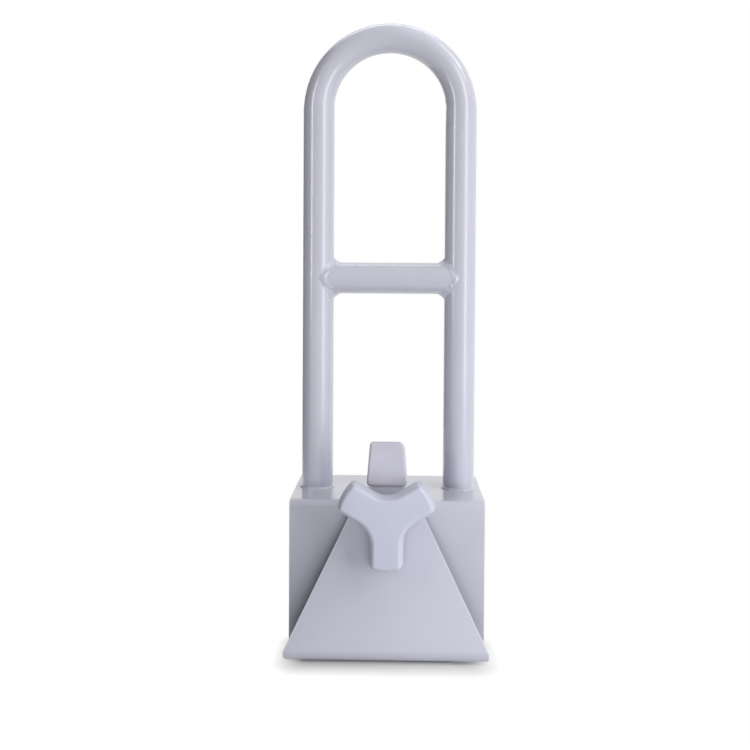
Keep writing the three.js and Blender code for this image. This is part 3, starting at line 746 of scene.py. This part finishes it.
def bead_swell(travelled, point, seed):
    """A weld bead's changing thickness: overlapping scales along its way, and uneven flow."""
    uneven, scale_share, flow_share, grain, flow = 0.25, 0.07, 0.09, 4 * MM, 5 * MM
    scale = (travelled / BEAD_RIPPLE + uneven * lump(point, grain, seed)) % 1
    return scale_share * math.sin(math.pi * scale) + flow_share * lump(point, flow, seed + 3)


def pushed_out(point, axis_point, axis, radius):
    """Moves a point that is inside a tube out to its surface."""
    offset = point - axis_point
    offset -= axis * offset.dot(axis)
    if offset.length >= radius:
        return point
    return point + offset.normalized() * (radius - offset.length)


def outside(point, leg, height):
    """Moves a point out of the leg and the crossbar, to a height over both."""
    point = pushed_out(point, leg, UP, TUBE_R + height)
    return pushed_out(point, Vector((0, 0, BAR_Z)), RIGHT, TUBE_R + height)


def weld_face(side, leg, lines, corner, radial, end):
    """The rough points of a section, between its places on the bar and on the leg."""
    (first, last), spans, face = lines, 14, []
    control = corner.lerp((first + last) / 2, 1 - WELD_HOLLOW_SHARE)
    grain_seed, lump_seed = 5 + side, 9 + side
    for t in (k / spans for k in range(1, spans)):
        spot = first * (1 - t) ** 2 + control * (2 * t * (1 - t)) + last * t ** 2
        crown = math.sin(math.pi * t)
        rough = WELD_GRAIN_HEIGHT * lump(spot, WELD_GRAIN, grain_seed)
        rough += WELD_LUMP_HEIGHT * lump(spot, WELD_LUMP, lump_seed)
        spot = outside(spot, leg, max(WELD_PROUD * (1 - end) + rough, 0) * crown)
        out = spot - leg
        out -= UP * out.dot(UP)
        out = (out.normalized() + radial).normalized()
        face.append(outside(spot + out * (rough * crown * end), leg, 0))
    return face


def weld_ring(side, across, up):
    """A section of the weld, where the way out of the bar goes across and up."""
    bar_seed, leg_seed, end_power = 21 + side, 31 + side, 6
    leg = Vector((side * LEG_X, 0, BAR_Z))
    radial, end = Vector((0, across, up)), up ** end_power
    turn = math.asin(BAR_BEAD_EASE_SHARE * across)

    def on_leg(angle, rise, radius):
        return leg + Vector((-side * radius * math.cos(angle), radius * math.sin(angle), rise))

    on_bar = TUBE_R * math.cos(turn) + WELD_ON_BAR + WELD_ON_BAR_MORE_AT_TOP * end
    reach = WELD_ON_LEG + WELD_ON_LEG_MORE_AT_TOP * end
    leg_turn, leg_rise = turn + reach * across / TUBE_R, TUBE_R * up + reach * up
    first = Vector((side * (LEG_X - on_bar), TUBE_R * across, BAR_Z + TUBE_R * up))
    last = on_leg(leg_turn, leg_rise, TUBE_R)
    first += RIGHT * side * lump(first, WELD_LUMP, bar_seed) * WELD_LUMP_HEIGHT
    last += UP * lump(last, WELD_LUMP, leg_seed) * WELD_LUMP_HEIGHT
    face = weld_face(side, leg, (first, last), on_leg(turn, TUBE_R * up, TUBE_R), radial, end)
    under = TUBE_R - WELD_SUNK
    hidden = [on_leg(leg_turn, leg_rise, under), on_leg(turn, under * up, under)]
    return [first - radial * WELD_SUNK, first, *face, last, *hidden]


def crossbar_bead(side, label):
    """The rough fillet weld round a coped end, between a line on the bar and a line on the leg."""
    steps, node = 240, f"crossbar_weld_{label}"
    rings = [weld_ring(side, math.sin(a), math.cos(a)) for a in turns(steps)]
    return dress(loft(rings, closed=True), "frame_paint", "frame", node, look="weld_paint")


def leg_bead(side, label):
    """The small fillet weld between a leg and the saddle's top."""
    steps, seed, mean_share = 144, 11 + side, 0.9
    face_shares = [(0.93, 0.18), (0.6, 0.6), (0.18, 0.93)]
    inner, foot, centre = TUBE_R - BEAD_SUNK, TOP - BEAD_SUNK, Vector((side * LEG_X, 0, 0))
    rings = []
    for a in turns(steps):
        way = Vector((*polar(1, a), 0))
        size = LEG_BEAD * (mean_share + bead_swell(a * TUBE_R, way * (TUBE_R + LEG_BEAD), seed))
        section = [(inner, foot), (TUBE_R + size, foot)]
        section += [(TUBE_R + size * out, TOP + size * up) for out, up in face_shares]
        section.append((inner, TOP + size))
        rings.append([centre + way * r + Vector((0, 0, z)) for r, z in section])
    node = f"leg_weld_{label}"
    return dress(loft(rings, closed=True), "frame_paint", "frame", node, look="weld_paint")


def leg_plug(side, label):
    """The plug in the open end of a leg, dished underneath."""
    low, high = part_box(f"leg_end_plug_{label}")
    radius = (high.x - low.x) / 2
    ease, dish, wall = 0.8 * MM, 3 * MM, 1.8 * MM
    corners = [
        (0, low.z + dish, 0), (radius - wall, low.z + dish, ease), (radius - wall, low.z, ease / 2),
        (radius, low.z, ease / 2), (radius, high.z, ease), (0, high.z, 0),
    ]
    place = Matrix.Translation((side * LEG_X, 0, 0))
    return turned(f"leg_end_plug_{label}", "plug_plastic", "frame", rounded(corners, 4), place)


# Saddle and what is fixed to it

def saddle():
    """The saddle as one sheet: front wall, top and back wall."""
    middle_r = SADDLE_BEND - SHEET / 2
    wall = TOP - SADDLE_BEND - FLOOR
    deck = BACK - FRONT - 2 * SADDLE_BEND
    quarter = math.pi / 2
    runs = [(wall, -quarter, middle_r), (deck, -quarter, middle_r), (wall, 0, 0)]
    fold = Fold((FRONT + SHEET / 2, FLOOR), quarter, runs)
    half, end = SADDLE_HIGH.x, fold.length
    slot = TOE_SLOT_WIDTH / 2
    ease = 2 * MM
    corners = [
        (slot, 0, ease), (half, 0, SADDLE_CORNER),
        (half, end, SADDLE_CORNER), (-half, end, SADDLE_CORNER),
        (-half, 0, SADDLE_CORNER), (-slot, 0, ease),
        (-slot, TOE_SLOT_HEIGHT, ease), (slot, TOE_SLOT_HEIGHT, ease),
    ]
    deck_middle = wall + middle_r * quarter + deck / 2
    holes = [circle(side * LEG_X, deck_middle, TUBE_R + GAP, 72) for side in (-1, 1)]
    holes.append(circle(0, TOP - ROD_DROP - FLOOR, ROD_HOLE_R))
    for low, high in (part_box(f"back_pad_rivet_{i}") for i in RIVETS):
        middle = (low + high) / 2
        holes.append(circle(middle.x, end - (middle.z - FLOOR), RIVET_HOLE_R))
    made = folded_sheet(corners, holes, SHEET, SHEET_EDGE, fold)
    return dress(made, "frame_paint", "frame", "saddle")


def ribbed(low, high, depth, width, pitch):
    """The section of a pad, as (across, along), with grooves in its low side."""
    (near, start), (far, end) = low, high
    count, ease = int((end - start - pitch) / pitch), 0.35 * MM
    margin = (end - start - (count - 1) * pitch) / 2
    side = [(near, start, ease)]
    for i in range(count):
        middle = start + margin + i * pitch
        side += [
            (near, middle - width / 2, ease), (near + depth, middle - width / 2, ease),
            (near + depth, middle + width / 2, ease), (near, middle + width / 2, ease),
        ]
    return side + [(near, end, ease), (far, end, ease), (far, start, ease)]


def rim_pad():
    low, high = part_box("rim_pad")
    groove, width, pitch, corner = 1.2 * MM, 2.2 * MM, 6 * MM, 4 * MM
    ribs = ribbed((low.z, low.y), (high.z, high.y), groove, width, pitch)
    section = rounded([(v, u, r) for u, v, r in ribs], 3)
    pad = prism(section, low.x, high.x, "X")
    plan = rounded(rectangle(low.x, low.y, high.x, high.y, corner))
    carve(pad, prism(plan, low.z - corner, high.z + corner), operation="INTERSECT")
    clear, recess_end, recess_corner, overrun = 14 * MM, 23.2 * MM, 1 * MM, 5 * MM
    recess = rounded(rectangle(-clear, low.y - overrun, clear, FRONT + recess_end, recess_corner))
    carve(pad, prism(recess, low.z - corner, high.z + corner))
    return dress(bevel(pad, PAD_EDGE, 2, 50), "pad_rubber", "frame", "rim_pad")


def back_pad(label):
    low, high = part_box(f"back_pad_{label}")
    groove, width, pitch, corner = 1.2 * MM, 2 * MM, 5.6 * MM, 6 * MM
    section = rounded(ribbed((low.y, low.z), (high.y, high.z), groove, width, pitch), 3)
    pad = prism(section, low.x, high.x, "X")
    front = rounded(rectangle(low.x, low.z, high.x, high.z, corner))
    carve(pad, prism(front, low.y - corner, high.y + corner, "Y"), operation="INTERSECT")
    return dress(bevel(pad, PAD_EDGE, 2, 50), "pad_rubber", "frame", f"back_pad_{label}")


def rivet(index):
    """A domed rivet."""
    node = f"back_pad_rivet_{index}"
    low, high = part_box(node)
    middle = (low + high) / 2
    head_r = (high.x - low.x) / 2
    shank_r, head_height, ease = 2 * MM, 1.8 * MM, 0.25 * MM
    seat = high.y - head_height
    dome_steps, rim = 10, 0.5 * MM
    profile = [(0, low.y), (shank_r - ease, low.y), (shank_r, low.y + ease), (shank_r, seat)]
    profile += [(head_r - ease, seat), (head_r, seat + ease), (head_r, seat + rim)]
    for k in range(1, dome_steps + 1):
        a = math.pi / 2 * k / dome_steps
        profile.append((head_r * math.cos(a), seat + rim + (head_height - rim) * math.sin(a)))
    place = Matrix.Translation((middle.x, 0, middle.z)) @ Matrix.Rotation(-math.pi / 2, 4, "X")
    return turned(node, "zinc_steel", "frame", profile, place, 40)


def nut_block():
    low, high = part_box("nut_block")
    corner, ease, reach = 1.2 * MM, 0.6 * MM, 60 * MM
    outline = rectangle(low.x, low.z, high.x, high.z, corner)
    block = slab(outline, low.y, high.y, ease, "Y")
    return dress(drilled(block, ROD_R, -reach, 0), "zinc_steel", "frame", "nut_block")


def hinge_lug(label):
    low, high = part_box(f"hinge_lug_{label}")
    foot, nose, under = low.z, PIN_AT.y - LUG_R, PIN_AT.z - LUG_R
    ease, heel, rim, radius = 0.5 * MM, 2 * MM, 0.4 * MM, LUG_R * FULL_ROUND_SHARE
    corners = [
        (PIN_AT.y + LUG_FORWARD, foot, ease), (high.y, foot, ease), (high.y, foot + LUG_R, heel),
        (PIN_AT.y, high.z, 0), (nose, high.z, radius), (nose, under, radius), (PIN_AT.y, under, 0),
    ]
    lug = slab(corners, low.x, high.x, rim, "X")
    drilled(lug, PIN_R, low.x - GAP, high.x + GAP, "X", ROW_FRAME, (PIN_AT.y, PIN_AT.z), 40)
    return dress(lug, "frame_paint", "frame", f"hinge_lug_{label}")


def hinge_pin():
    low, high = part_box("hinge_pin")
    ease, tip = 0.5 * MM, 0.4 * MM
    corners = [
        (0, low.x, 0), (PIN_HEAD_R, low.x, ease), (PIN_HEAD_R, low.x + PIN_HEAD_LENGTH, ease / 2),
        (PIN_R, low.x + PIN_HEAD_LENGTH, 0), (PIN_R, high.x, tip), (0, high.x, 0),
    ]
    return turned("hinge_pin", "zinc_steel", "frame", rounded(corners, 4), PIN_FRAME, 40)


def pin_clip():
    low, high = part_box("hinge_pin_clip")
    ease, mouth, reach = 0.25 * MM, 1.4 * MM, 2 * CLIP_R
    profile = rounded(rectangle(PIN_R + GAP, low.x, CLIP_R, high.x, ease), 4)
    made = lathe(profile, PIN_FRAME, 48, closed=True)
    gate = rectangle(PIN_AT.y, PIN_AT.z - mouth, PIN_AT.y + reach, PIN_AT.z + mouth)
    carve(made, prism(rounded(gate), low.x - GAP, high.x + GAP, "X"))
    return dress(made, "zinc_steel", "frame", "hinge_pin_clip")


# Clamp plate and what moves with it

def clamp_plate():
    """The plate as one sheet: tongue, slanted sides, rolled toe and lip."""
    middle_r = TOE_BEND - PLATE / 2
    roll = math.pi / 2 + LEAN
    upright = TONGUE_RISE - TOE_Z
    runs = [(upright, roll, middle_r), (LIP_LENGTH, 0, 0)]
    fold = Fold((-PLATE_STANDOFF, TONGUE_RISE), -math.pi / 2, runs)
    tongue, neck, toe, lip = (w / 2 for w in (TONGUE_WIDTH, NECK_WIDTH, TOE_WIDTH, LIP_WIDTH))
    shoulder = TONGUE_RISE - SHOULDER_RISE
    full = TONGUE_RISE + TOE_EDGE_DROP
    bottom = upright + middle_r * math.pi / 2
    ease = 1.5 * MM
    left = [
        (-tongue, 0, TONGUE_CORNER), (-tongue, shoulder, ease), (-neck, shoulder, SHOULDER_CORNER),
        (-toe, full, ease), (-toe, bottom, TOE_CORNER), (-lip, bottom, ease),
        (-lip, fold.length, LIP_CORNER),
    ]
    right = [(-x, s, r) for x, s, r in reversed(left)]
    middle, slot_round_share = TONGUE_RISE + ROD_SLOT_DROP, 0.999
    across, along = ROD_SLOT_WIDTH / 2, ROD_SLOT_HEIGHT / 2
    corner = across * slot_round_share
    slot = rounded(rectangle(-across, middle - along, across, middle + along, corner), 12)
    made = folded_sheet(right + left, [slot], PLATE, PLATE_EDGE, fold, PLATE_FRAME)
    return dress(made, "frame_paint", "plate", "clamp_plate")


def plate_knuckle():
    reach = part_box("plate_knuckle")[1].x
    seat, ease = -PLATE_STANDOFF + PLATE / 2 + GAP, 0.4 * MM
    radius = KNUCKLE_R * FULL_ROUND_SHARE
    corners = [
        (seat, -KNUCKLE_R, ease), (KNUCKLE_R, -KNUCKLE_R, radius),
        (KNUCKLE_R, KNUCKLE_R, radius), (seat, KNUCKLE_R, ease),
    ]
    made = slab(corners, -reach, reach, ease, "X", PLATE_FRAME)
    drilled(made, PIN_R, -reach - GAP, reach + GAP, "X", PLATE_FRAME, sides=40)
    return dress(made, "frame_paint", "plate", "plate_knuckle")


def tongue_cap():
    """The soft cap, pulled over the tongue, open below."""
    foot, top = CAP_FOOT_WIDTH / 2, CAP_TOP_WIDTH / 2
    corners = [
        (-foot, CAP_FOOT_RISE, CAP_FOOT_CORNER), (foot, CAP_FOOT_RISE, CAP_FOOT_CORNER),
        (top, CAP_RISE, CAP_RIGHT_CORNER), (-top, CAP_RISE, CAP_LEFT_CORNER),
    ]
    near, far = -PLATE_STANDOFF - CAP_THICK / 2, -PLATE_STANDOFF + CAP_THICK / 2
    made = slab(corners, near, far, CAP_ROUNDING, "Y", PLATE_FRAME, 10)
    half, room, overrun, corner = TONGUE_WIDTH / 2 + GAP, PLATE / 2 + GAP, 4 * MM, 1 * MM
    pocket = rounded(rectangle(-half, CAP_FOOT_RISE - overrun, half, TONGUE_RISE + GAP, corner))
    near, far = -PLATE_STANDOFF - room, -PLATE_STANDOFF + room
    inside = prism(pocket, near, far, "Y", PLATE_FRAME)
    return dress(carve(made, inside), "cap_vinyl", "plate", "tongue_cap")


def toe_pad():
    """The rubber strip over the lip's edge, with two grooves in the face that meets the tub."""
    ahead, behind, height, width = 4 * MM, 4 * MM, 8 * MM, 92 * MM
    seat, ease, crown, end_ease = PLATE + GAP, 0.4 * MM, 2 * MM, 0.5 * MM
    groove_depth, half_groove, groove_heights = 0.9 * MM, 0.5 * MM, (2.5 * MM, 4.9 * MM)
    corners = [(GAP, 0, ease), (ahead, 0, ease)]
    for level in groove_heights:
        corners += [
            (ahead, level - half_groove, ease), (ahead - groove_depth, level, ease),
            (ahead, level + half_groove, ease),
        ]
    corners += [
        (ahead, height, crown), (-behind, height, ease * 2), (-behind, seat, ease), (GAP, seat, 0),
    ]
    section = rounded(corners, 3)
    angle = 3 * math.pi / 2 + LEAN
    edge = Vector((
        0, TOE_Y + TOE_BEND * math.cos(angle) + LIP_LENGTH * math.cos(LEAN),
        TOE_Z + TOE_BEND * math.sin(angle) + LIP_LENGTH * math.sin(LEAN),
    ))
    at = PLATE_FRAME @ Matrix.Translation(edge) @ Matrix.Rotation(LEAN, 4, "X")
    made = prism(section, -width / 2, width / 2, "X", at)
    return dress(bevel(made, end_ease, 2, 60), "pad_rubber", "plate", "toe_pad")


# Screw and knob

def reach_along_screw(node):
    """The lowest and highest stations of a node along the screw's axis."""
    to_screw = SCREW_FRAME.inverted()
    stations = [(to_screw @ v.co).z for v in frame["nodes"][node].data.vertices]
    return min(stations), max(stations)


def washer(node, radius, direction):
    """A washer with one domed face, against the clamp plate."""
    low, high = reach_along_screw(node)
    flat_end = high if direction > 0 else low
    inner_end = low if direction > 0 else -high
    hole, ease, steps = ROD_R + GAP, 0.2 * MM, 12
    dome_centre = inner_end + math.sqrt(DOME_R ** 2 - hole ** 2)
    profile = [(hole, flat_end - direction * ease), (hole + ease, flat_end)]
    profile += [(radius - ease, flat_end), (radius, flat_end - direction * ease)]
    for k in range(steps + 1):
        r = radius + (hole - radius) * k / steps
        profile.append((r, direction * (dome_centre - math.sqrt(DOME_R ** 2 - r ** 2))))
    return turned(node, "zinc_steel", "washers", profile, closed=True)


def retaining_ring():
    low, high = reach_along_screw("retaining_ring")
    radius, mouth, ease = 6.5 * MM, 1.8 * MM, 0.2 * MM
    profile = rounded(rectangle(ROD_R + GAP, low, radius, high, ease), 4)
    made = lathe(profile, SCREW_FRAME, 64, closed=True)
    gate = rounded(rectangle(-mouth, 0, mouth, 2 * radius))
    carve(made, prism(gate, low - GAP, high + GAP, "Z", SCREW_FRAME))
    return dress(made, "zinc_steel", "washers", "retaining_ring")


def thread_radius(z, angle, low, high):
    """The rod's surface: a thread of about 60 degrees with flat crests, and a chamfer at each end."""
    phase = (z / THREAD_PITCH - angle / (2 * math.pi)) % 1
    crest_share, root_share = 0.125, 0.2
    flank_share = (1 - crest_share - root_share) / 2
    rise = min(max((abs(phase - 0.5) - root_share / 2) / flank_share, 0), 1)
    radius = ROD_R - THREAD_DEPTH * (1 - rise)
    inner_chamfer = ROD_R - ROD_CHAMFER + (z - low)
    outer_chamfer = ROD_R - ROD_CHAMFER / 2 + (high - z)
    return min(radius, inner_chamfer, outer_chamfer)


def threaded_rod():
    low, high = reach_along_screw("threaded_rod")
    sides, steps_per_pitch, rings = 48, 14, []
    steps = math.ceil((high - low) / THREAD_PITCH * steps_per_pitch)
    for i in range(steps + 1):
        z = low + (high - low) * i / steps
        rings.append([(*polar(thread_radius(z, a, low, high), a), z) for a in turns(sides)])
    return dress(loft(rings, SCREW_FRAME), "zinc_steel", "knob", "threaded_rod")


def knob_outline(distance):
    """The knob's outline, drawn smaller by distance: lobes with parallel sides and hollow fillets."""
    half = LOBE_HALF_WIDTH - distance
    tip = KNOB_R - distance
    corner = max(LOBE_CORNER - distance, GAP)
    fillet = LOBE_FILLET + distance
    reach = (half + fillet) / math.sin(math.pi / LOBES)
    spread = math.asin((half - corner) / (tip - corner))
    quarter, between = math.pi / 2, math.pi / LOBES
    corner_steps, tip_steps, hollow_steps = 10, 12, 20
    points = []
    for i in range(LOBES):
        a = -quarter + i * 2 * math.pi / LOBES
        first, last = polar(tip - corner, a - spread), polar(tip - corner, a + spread)
        points += arc(first, corner, a - quarter, a - spread, corner_steps)
        points += arc((0, 0), tip, a - spread, a + spread, tip_steps)
        points += arc(last, corner, a + spread, a + quarter, corner_steps)
        points.append(Vector(last) + corner * pointing(a).orthogonal())
        middle, end = polar(reach, a + between), a - quarter - between
        points += arc(middle, fillet, a - quarter, end, hollow_steps)
        points.append(Vector(middle) + fillet * pointing(end))
    return points


def knob_levels():
    """How far in and how high each ring of the knob's skin lies, from inside the hollow to the face."""
    back = KNOB_FACE_OUT - KNOB_THICK
    ceiling = KNOB_FACE_OUT - KNOB_FACE_WALL
    steps, ease = 8, KNOB_RIM_ROUNDING
    rim, face = quarter_round(steps), quarter_round(2 * steps)
    levels = [(KNOB_WALL + ease, ceiling)]
    levels += [(KNOB_WALL + ease * s, ceiling - ease * c) for s, c in rim[1:]]
    levels += [(KNOB_WALL - ease * c, back + ease * s) for s, c in rim]
    levels += [(ease * s, back + ease * c) for s, c in rim]
    for s, c in face:
        levels.append((KNOB_DRAFT + KNOB_ROUNDING * c, KNOB_FACE_OUT - KNOB_ROUNDING_DEPTH * s))
    return levels


def knob_body():
    """The three-lobed knob: a skin that is hollow behind, and a hub round the insert."""
    rings = [[(p.x, p.y, z) for p in knob_outline(d)] for d, z in knob_levels()]
    shell = loft(rings, SCREW_FRAME)
    insert_back, insert_end = reach_along_screw("knob_insert")
    hub_back, into_face, ease = insert_back - GAP, KNOB_FACE_OUT - KNOB_FACE_WALL / 2, 0.8 * MM
    corners = [
        (0, into_face, 0), (0, hub_back, 0), (HUB_R, hub_back, ease), (HUB_R, into_face, 0),
    ]
    carve(shell, lathe(rounded(corners, 5), SCREW_FRAME, 72), operation="UNION")
    drilled(shell, INSERT_R, hub_back - ease, insert_end + GAP, sides=64)
    return dress(shell, "knob_plastic", "knob", "knob_body")


def knob_insert():
    low, high = reach_along_screw("knob_insert")
    bore, ease = ROD_R + GAP, 0.5 * MM
    corners = [(bore, low, ease), (INSERT_R, low, ease), (INSERT_R, high, ease), (bore, high, 0)]
    return turned("knob_insert", "insert_brass", "knob", rounded(corners, 4), closed=True)


def build_pieces():
    rail_tube()
    crossbar()
    for side, label in ((-1, "left"), (1, "right")):
        crossbar_bead(side, label)
        leg_bead(side, label)
        leg_plug(side, label)
        hinge_lug(label)
        back_pad(label)
    saddle()
    nut_block()
    rim_pad()
    for index in RIVETS:
        rivet(index)
    hinge_pin()
    pin_clip()
    clamp_plate()
    plate_knuckle()
    tongue_cap()
    toe_pad()
    washer("front_washer", FRONT_WASHER_R, 1)
    washer("rear_washer", REAR_WASHER_R, -1)
    retaining_ring()
    threaded_rod()
    knob_body()
    knob_insert()


# Studio

def math_node(tree, operation, *values):
    """The result of plain arithmetic on sockets or numbers."""
    return add_node(tree, "ShaderNodeMath", dict(enumerate(values)), operation=operation).outputs[0]


def seen_rays(tree):
    """1 for the rays of the camera, of reflections and of glass, and 0 for light on surfaces."""
    rays = add_node(tree, "ShaderNodeLightPath").outputs
    seen = math_node(tree, "MAXIMUM", rays["Is Camera Ray"], rays["Is Glossy Ray"])
    return math_node(tree, "MAXIMUM", seen, rays["Is Transmission Ray"])


def mix_shaders(tree, factor, first, second, output_kind):
    """Blends two shaders by a factor, for the output of the tree."""
    fed = {0: factor, 1: first.outputs[0], 2: second.outputs[0]}
    add_node(tree, output_kind, {"Surface": add_node(tree, "ShaderNodeMixShader", fed).outputs[0]})


def floor_share(tree, margin, fade):
    """How much of the floor shows as plain white: none of it under the clamp plate, which counts as
    narrower by margin at both ends, and all of it from the distance fade."""
    place = add_node(tree, "ShaderNodeTexCoord").outputs["Object"]
    parts = add_node(tree, "ShaderNodeSeparateXYZ", {0: place})
    low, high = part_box("clamp_plate")
    squares = []
    sides = (("X", low.x + margin, high.x - margin), ("Y", low.y, high.y))
    for name, start, end in sides:
        offset = math_node(tree, "SUBTRACT", parts.outputs[name], (start + end) / 2)
        beyond = math_node(tree, "SUBTRACT", math_node(tree, "ABSOLUTE", offset), (end - start) / 2)
        squares.append(math_node(tree, "POWER", math_node(tree, "MAXIMUM", beyond, 0), 2))
    away = math_node(tree, "SQRT", math_node(tree, "ADD", *squares))
    return add_node(tree, "ShaderNodeMapRange", {"Value": away, "From Max": fade}).outputs["Result"]


def floor_material():
    """A pale matte floor that fades to plain white, and keeps the object's shadow near it."""
    margin, fade = 15 * MM, 23 * MM
    made = bpy.data.materials.new("studio_floor")
    tree = empty_tree(made)
    matte = add_node(tree, "ShaderNodeBsdfDiffuse", {"Color": linear(230, 228, 224)})
    white = add_node(tree, "ShaderNodeEmission")
    share = math_node(tree, "MULTIPLY", seen_rays(tree), floor_share(tree, margin, fade))
    mix_shaders(tree, share, matte, white, "ShaderNodeOutputMaterial")
    return made


def studio_sheet(name, material, axis, at, corners):
    """A flat sheet square to an axis, which isn't part of the object."""
    made = make_object([AXES[axis](u, v, at) for u, v, _ in corners], [(0, 1, 2, 3)])
    made.name = made.data.name = name
    made.data.materials.append(material)
    return made


def floor():
    half = 3.0
    corners = rectangle(-half, -half, half, half)
    studio_sheet("studio_floor", floor_material(), "Z", CAD_BOX[0].z, corners)


def dark_cloth(name, x, start, end, top):
    """A dark upright cloth on the floor at x, between two places along Y. The camera doesn't see it."""
    look = Look(name, 1.0)
    look.set(Base_Color=linear(96, 96, 100))
    made = studio_sheet(name, look.material, "X", x, rectangle(start, CAD_BOX[0].z, end, top))
    made.visible_camera = False
    return made


def dark_cloths():
    """One gives the tubes their dark left edges. A low one keeps light off the saddle's left side."""
    dark_cloth("studio_side_cloth", -0.6, -0.36, 0.9, 1.1)
    low_cloth = dark_cloth("studio_low_cloth", -0.095, -0.32, -0.065, 0.042)
    low_cloth.visible_glossy = False


def world():
    """White where the camera and reflections look past the floor, and a soft grey light elsewhere."""
    made = bpy.data.worlds.new("studio")
    tree = empty_tree(made)
    soft = add_node(tree, "ShaderNodeBackground", {"Color": linear(232, 234, 240), "Strength": 0.3})
    white = add_node(tree, "ShaderNodeBackground", {"Color": (1, 1, 1, 1), "Strength": 1.0})
    mix_shaders(tree, seen_rays(tree), soft, white, "ShaderNodeOutputWorld")
    bpy.context.scene.world = made


def stand(data, place, way, roll=0.0):
    """Puts a lamp or a camera in its place, facing a way."""
    made = assign(bpy.data.objects.new(data.name, data), location=place, rotation_mode="QUATERNION")
    made.rotation_quaternion = way.to_track_quat("-Z", "Y") @ Quaternion((0, 0, 1), roll)
    bpy.context.scene.collection.objects.link(made)
    return made


def soft_lamp(name, place, target, size, power, colour=(1, 1, 1)):
    data = assign(bpy.data.lights.new(name, "AREA"), shape="RECTANGLE", energy=power, color=colour)
    data.size, data.size_y = size
    return stand(data, place, Vector(target) - Vector(place))


def lamps():
    """The first lamps light the paint and show in it, the glints only show, and the unseen only light."""
    key_place, key_target = (0.76, -0.87, 0.45), (0, 0, 0.25)
    soft_lamp("key", key_place, key_target, (0.22, 1.1), 2.6)
    soft_lamp("left_strip", (-0.84, -0.71, 0.46), (0, 0, 0.3), (0.07, 0.64), 2.5)
    soft_lamp("top", (0, 0.45, 1.3), (0, 0, 0.1), (1.0, 0.2), 1.8)
    glints = [
        soft_lamp("key_glint", key_place, key_target, (0.34, 1.1), 3.5),
        soft_lamp("arch_glint", (0.75, -0.15, 1.05), (0, 0, 0.35), (0.03, 0.5), 1.6),
    ]
    for lamp in glints:
        lamp.visible_diffuse = False
    cool = (0.9, 0.94, 1)
    unseen = [
        soft_lamp("right", (1.15, -0.45, 0.55), (0, 0, 0.2), (0.7, 0.9), 4.8),
        soft_lamp("low_right", (0.6, -0.42, -0.05), (0, -0.06, -0.05), (0.25, 0.2), 1.1, cool),
        soft_lamp("low_front", (0.03, -0.42, -0.05), (0, -0.08, -0.06), (0.2, 0.05), 0.28, cool),
        soft_lamp("overhead", (0.3, -0.16, 1.1), (0, 0, 0), (0.6, 0.4), 3.0),
    ]
    for lamp in unseen:
        lamp.visible_glossy = False


def camera():
    """The photograph's view: a little above the middle, with the rail nearly upright."""
    place = Vector((7.341, -808.92, 192.19)) * MM
    yaw, pitch, roll = (math.radians(a) for a in (1.325, 1.460, 0.348))
    forward = Vector((
        -math.sin(yaw) * math.cos(pitch), math.cos(yaw) * math.cos(pitch), -math.sin(pitch)
    ))
    data = bpy.data.cameras.new("photo_view")
    assign(data, lens=47.471, shift_y=-0.1, clip_start=0.01, clip_end=20)
    bpy.context.scene.camera = stand(data, place, forward, roll)


build_pieces()
floor()
dark_cloths()
world()
lamps()
camera()
bpy.context.scene.view_settings.view_transform = "Standard"
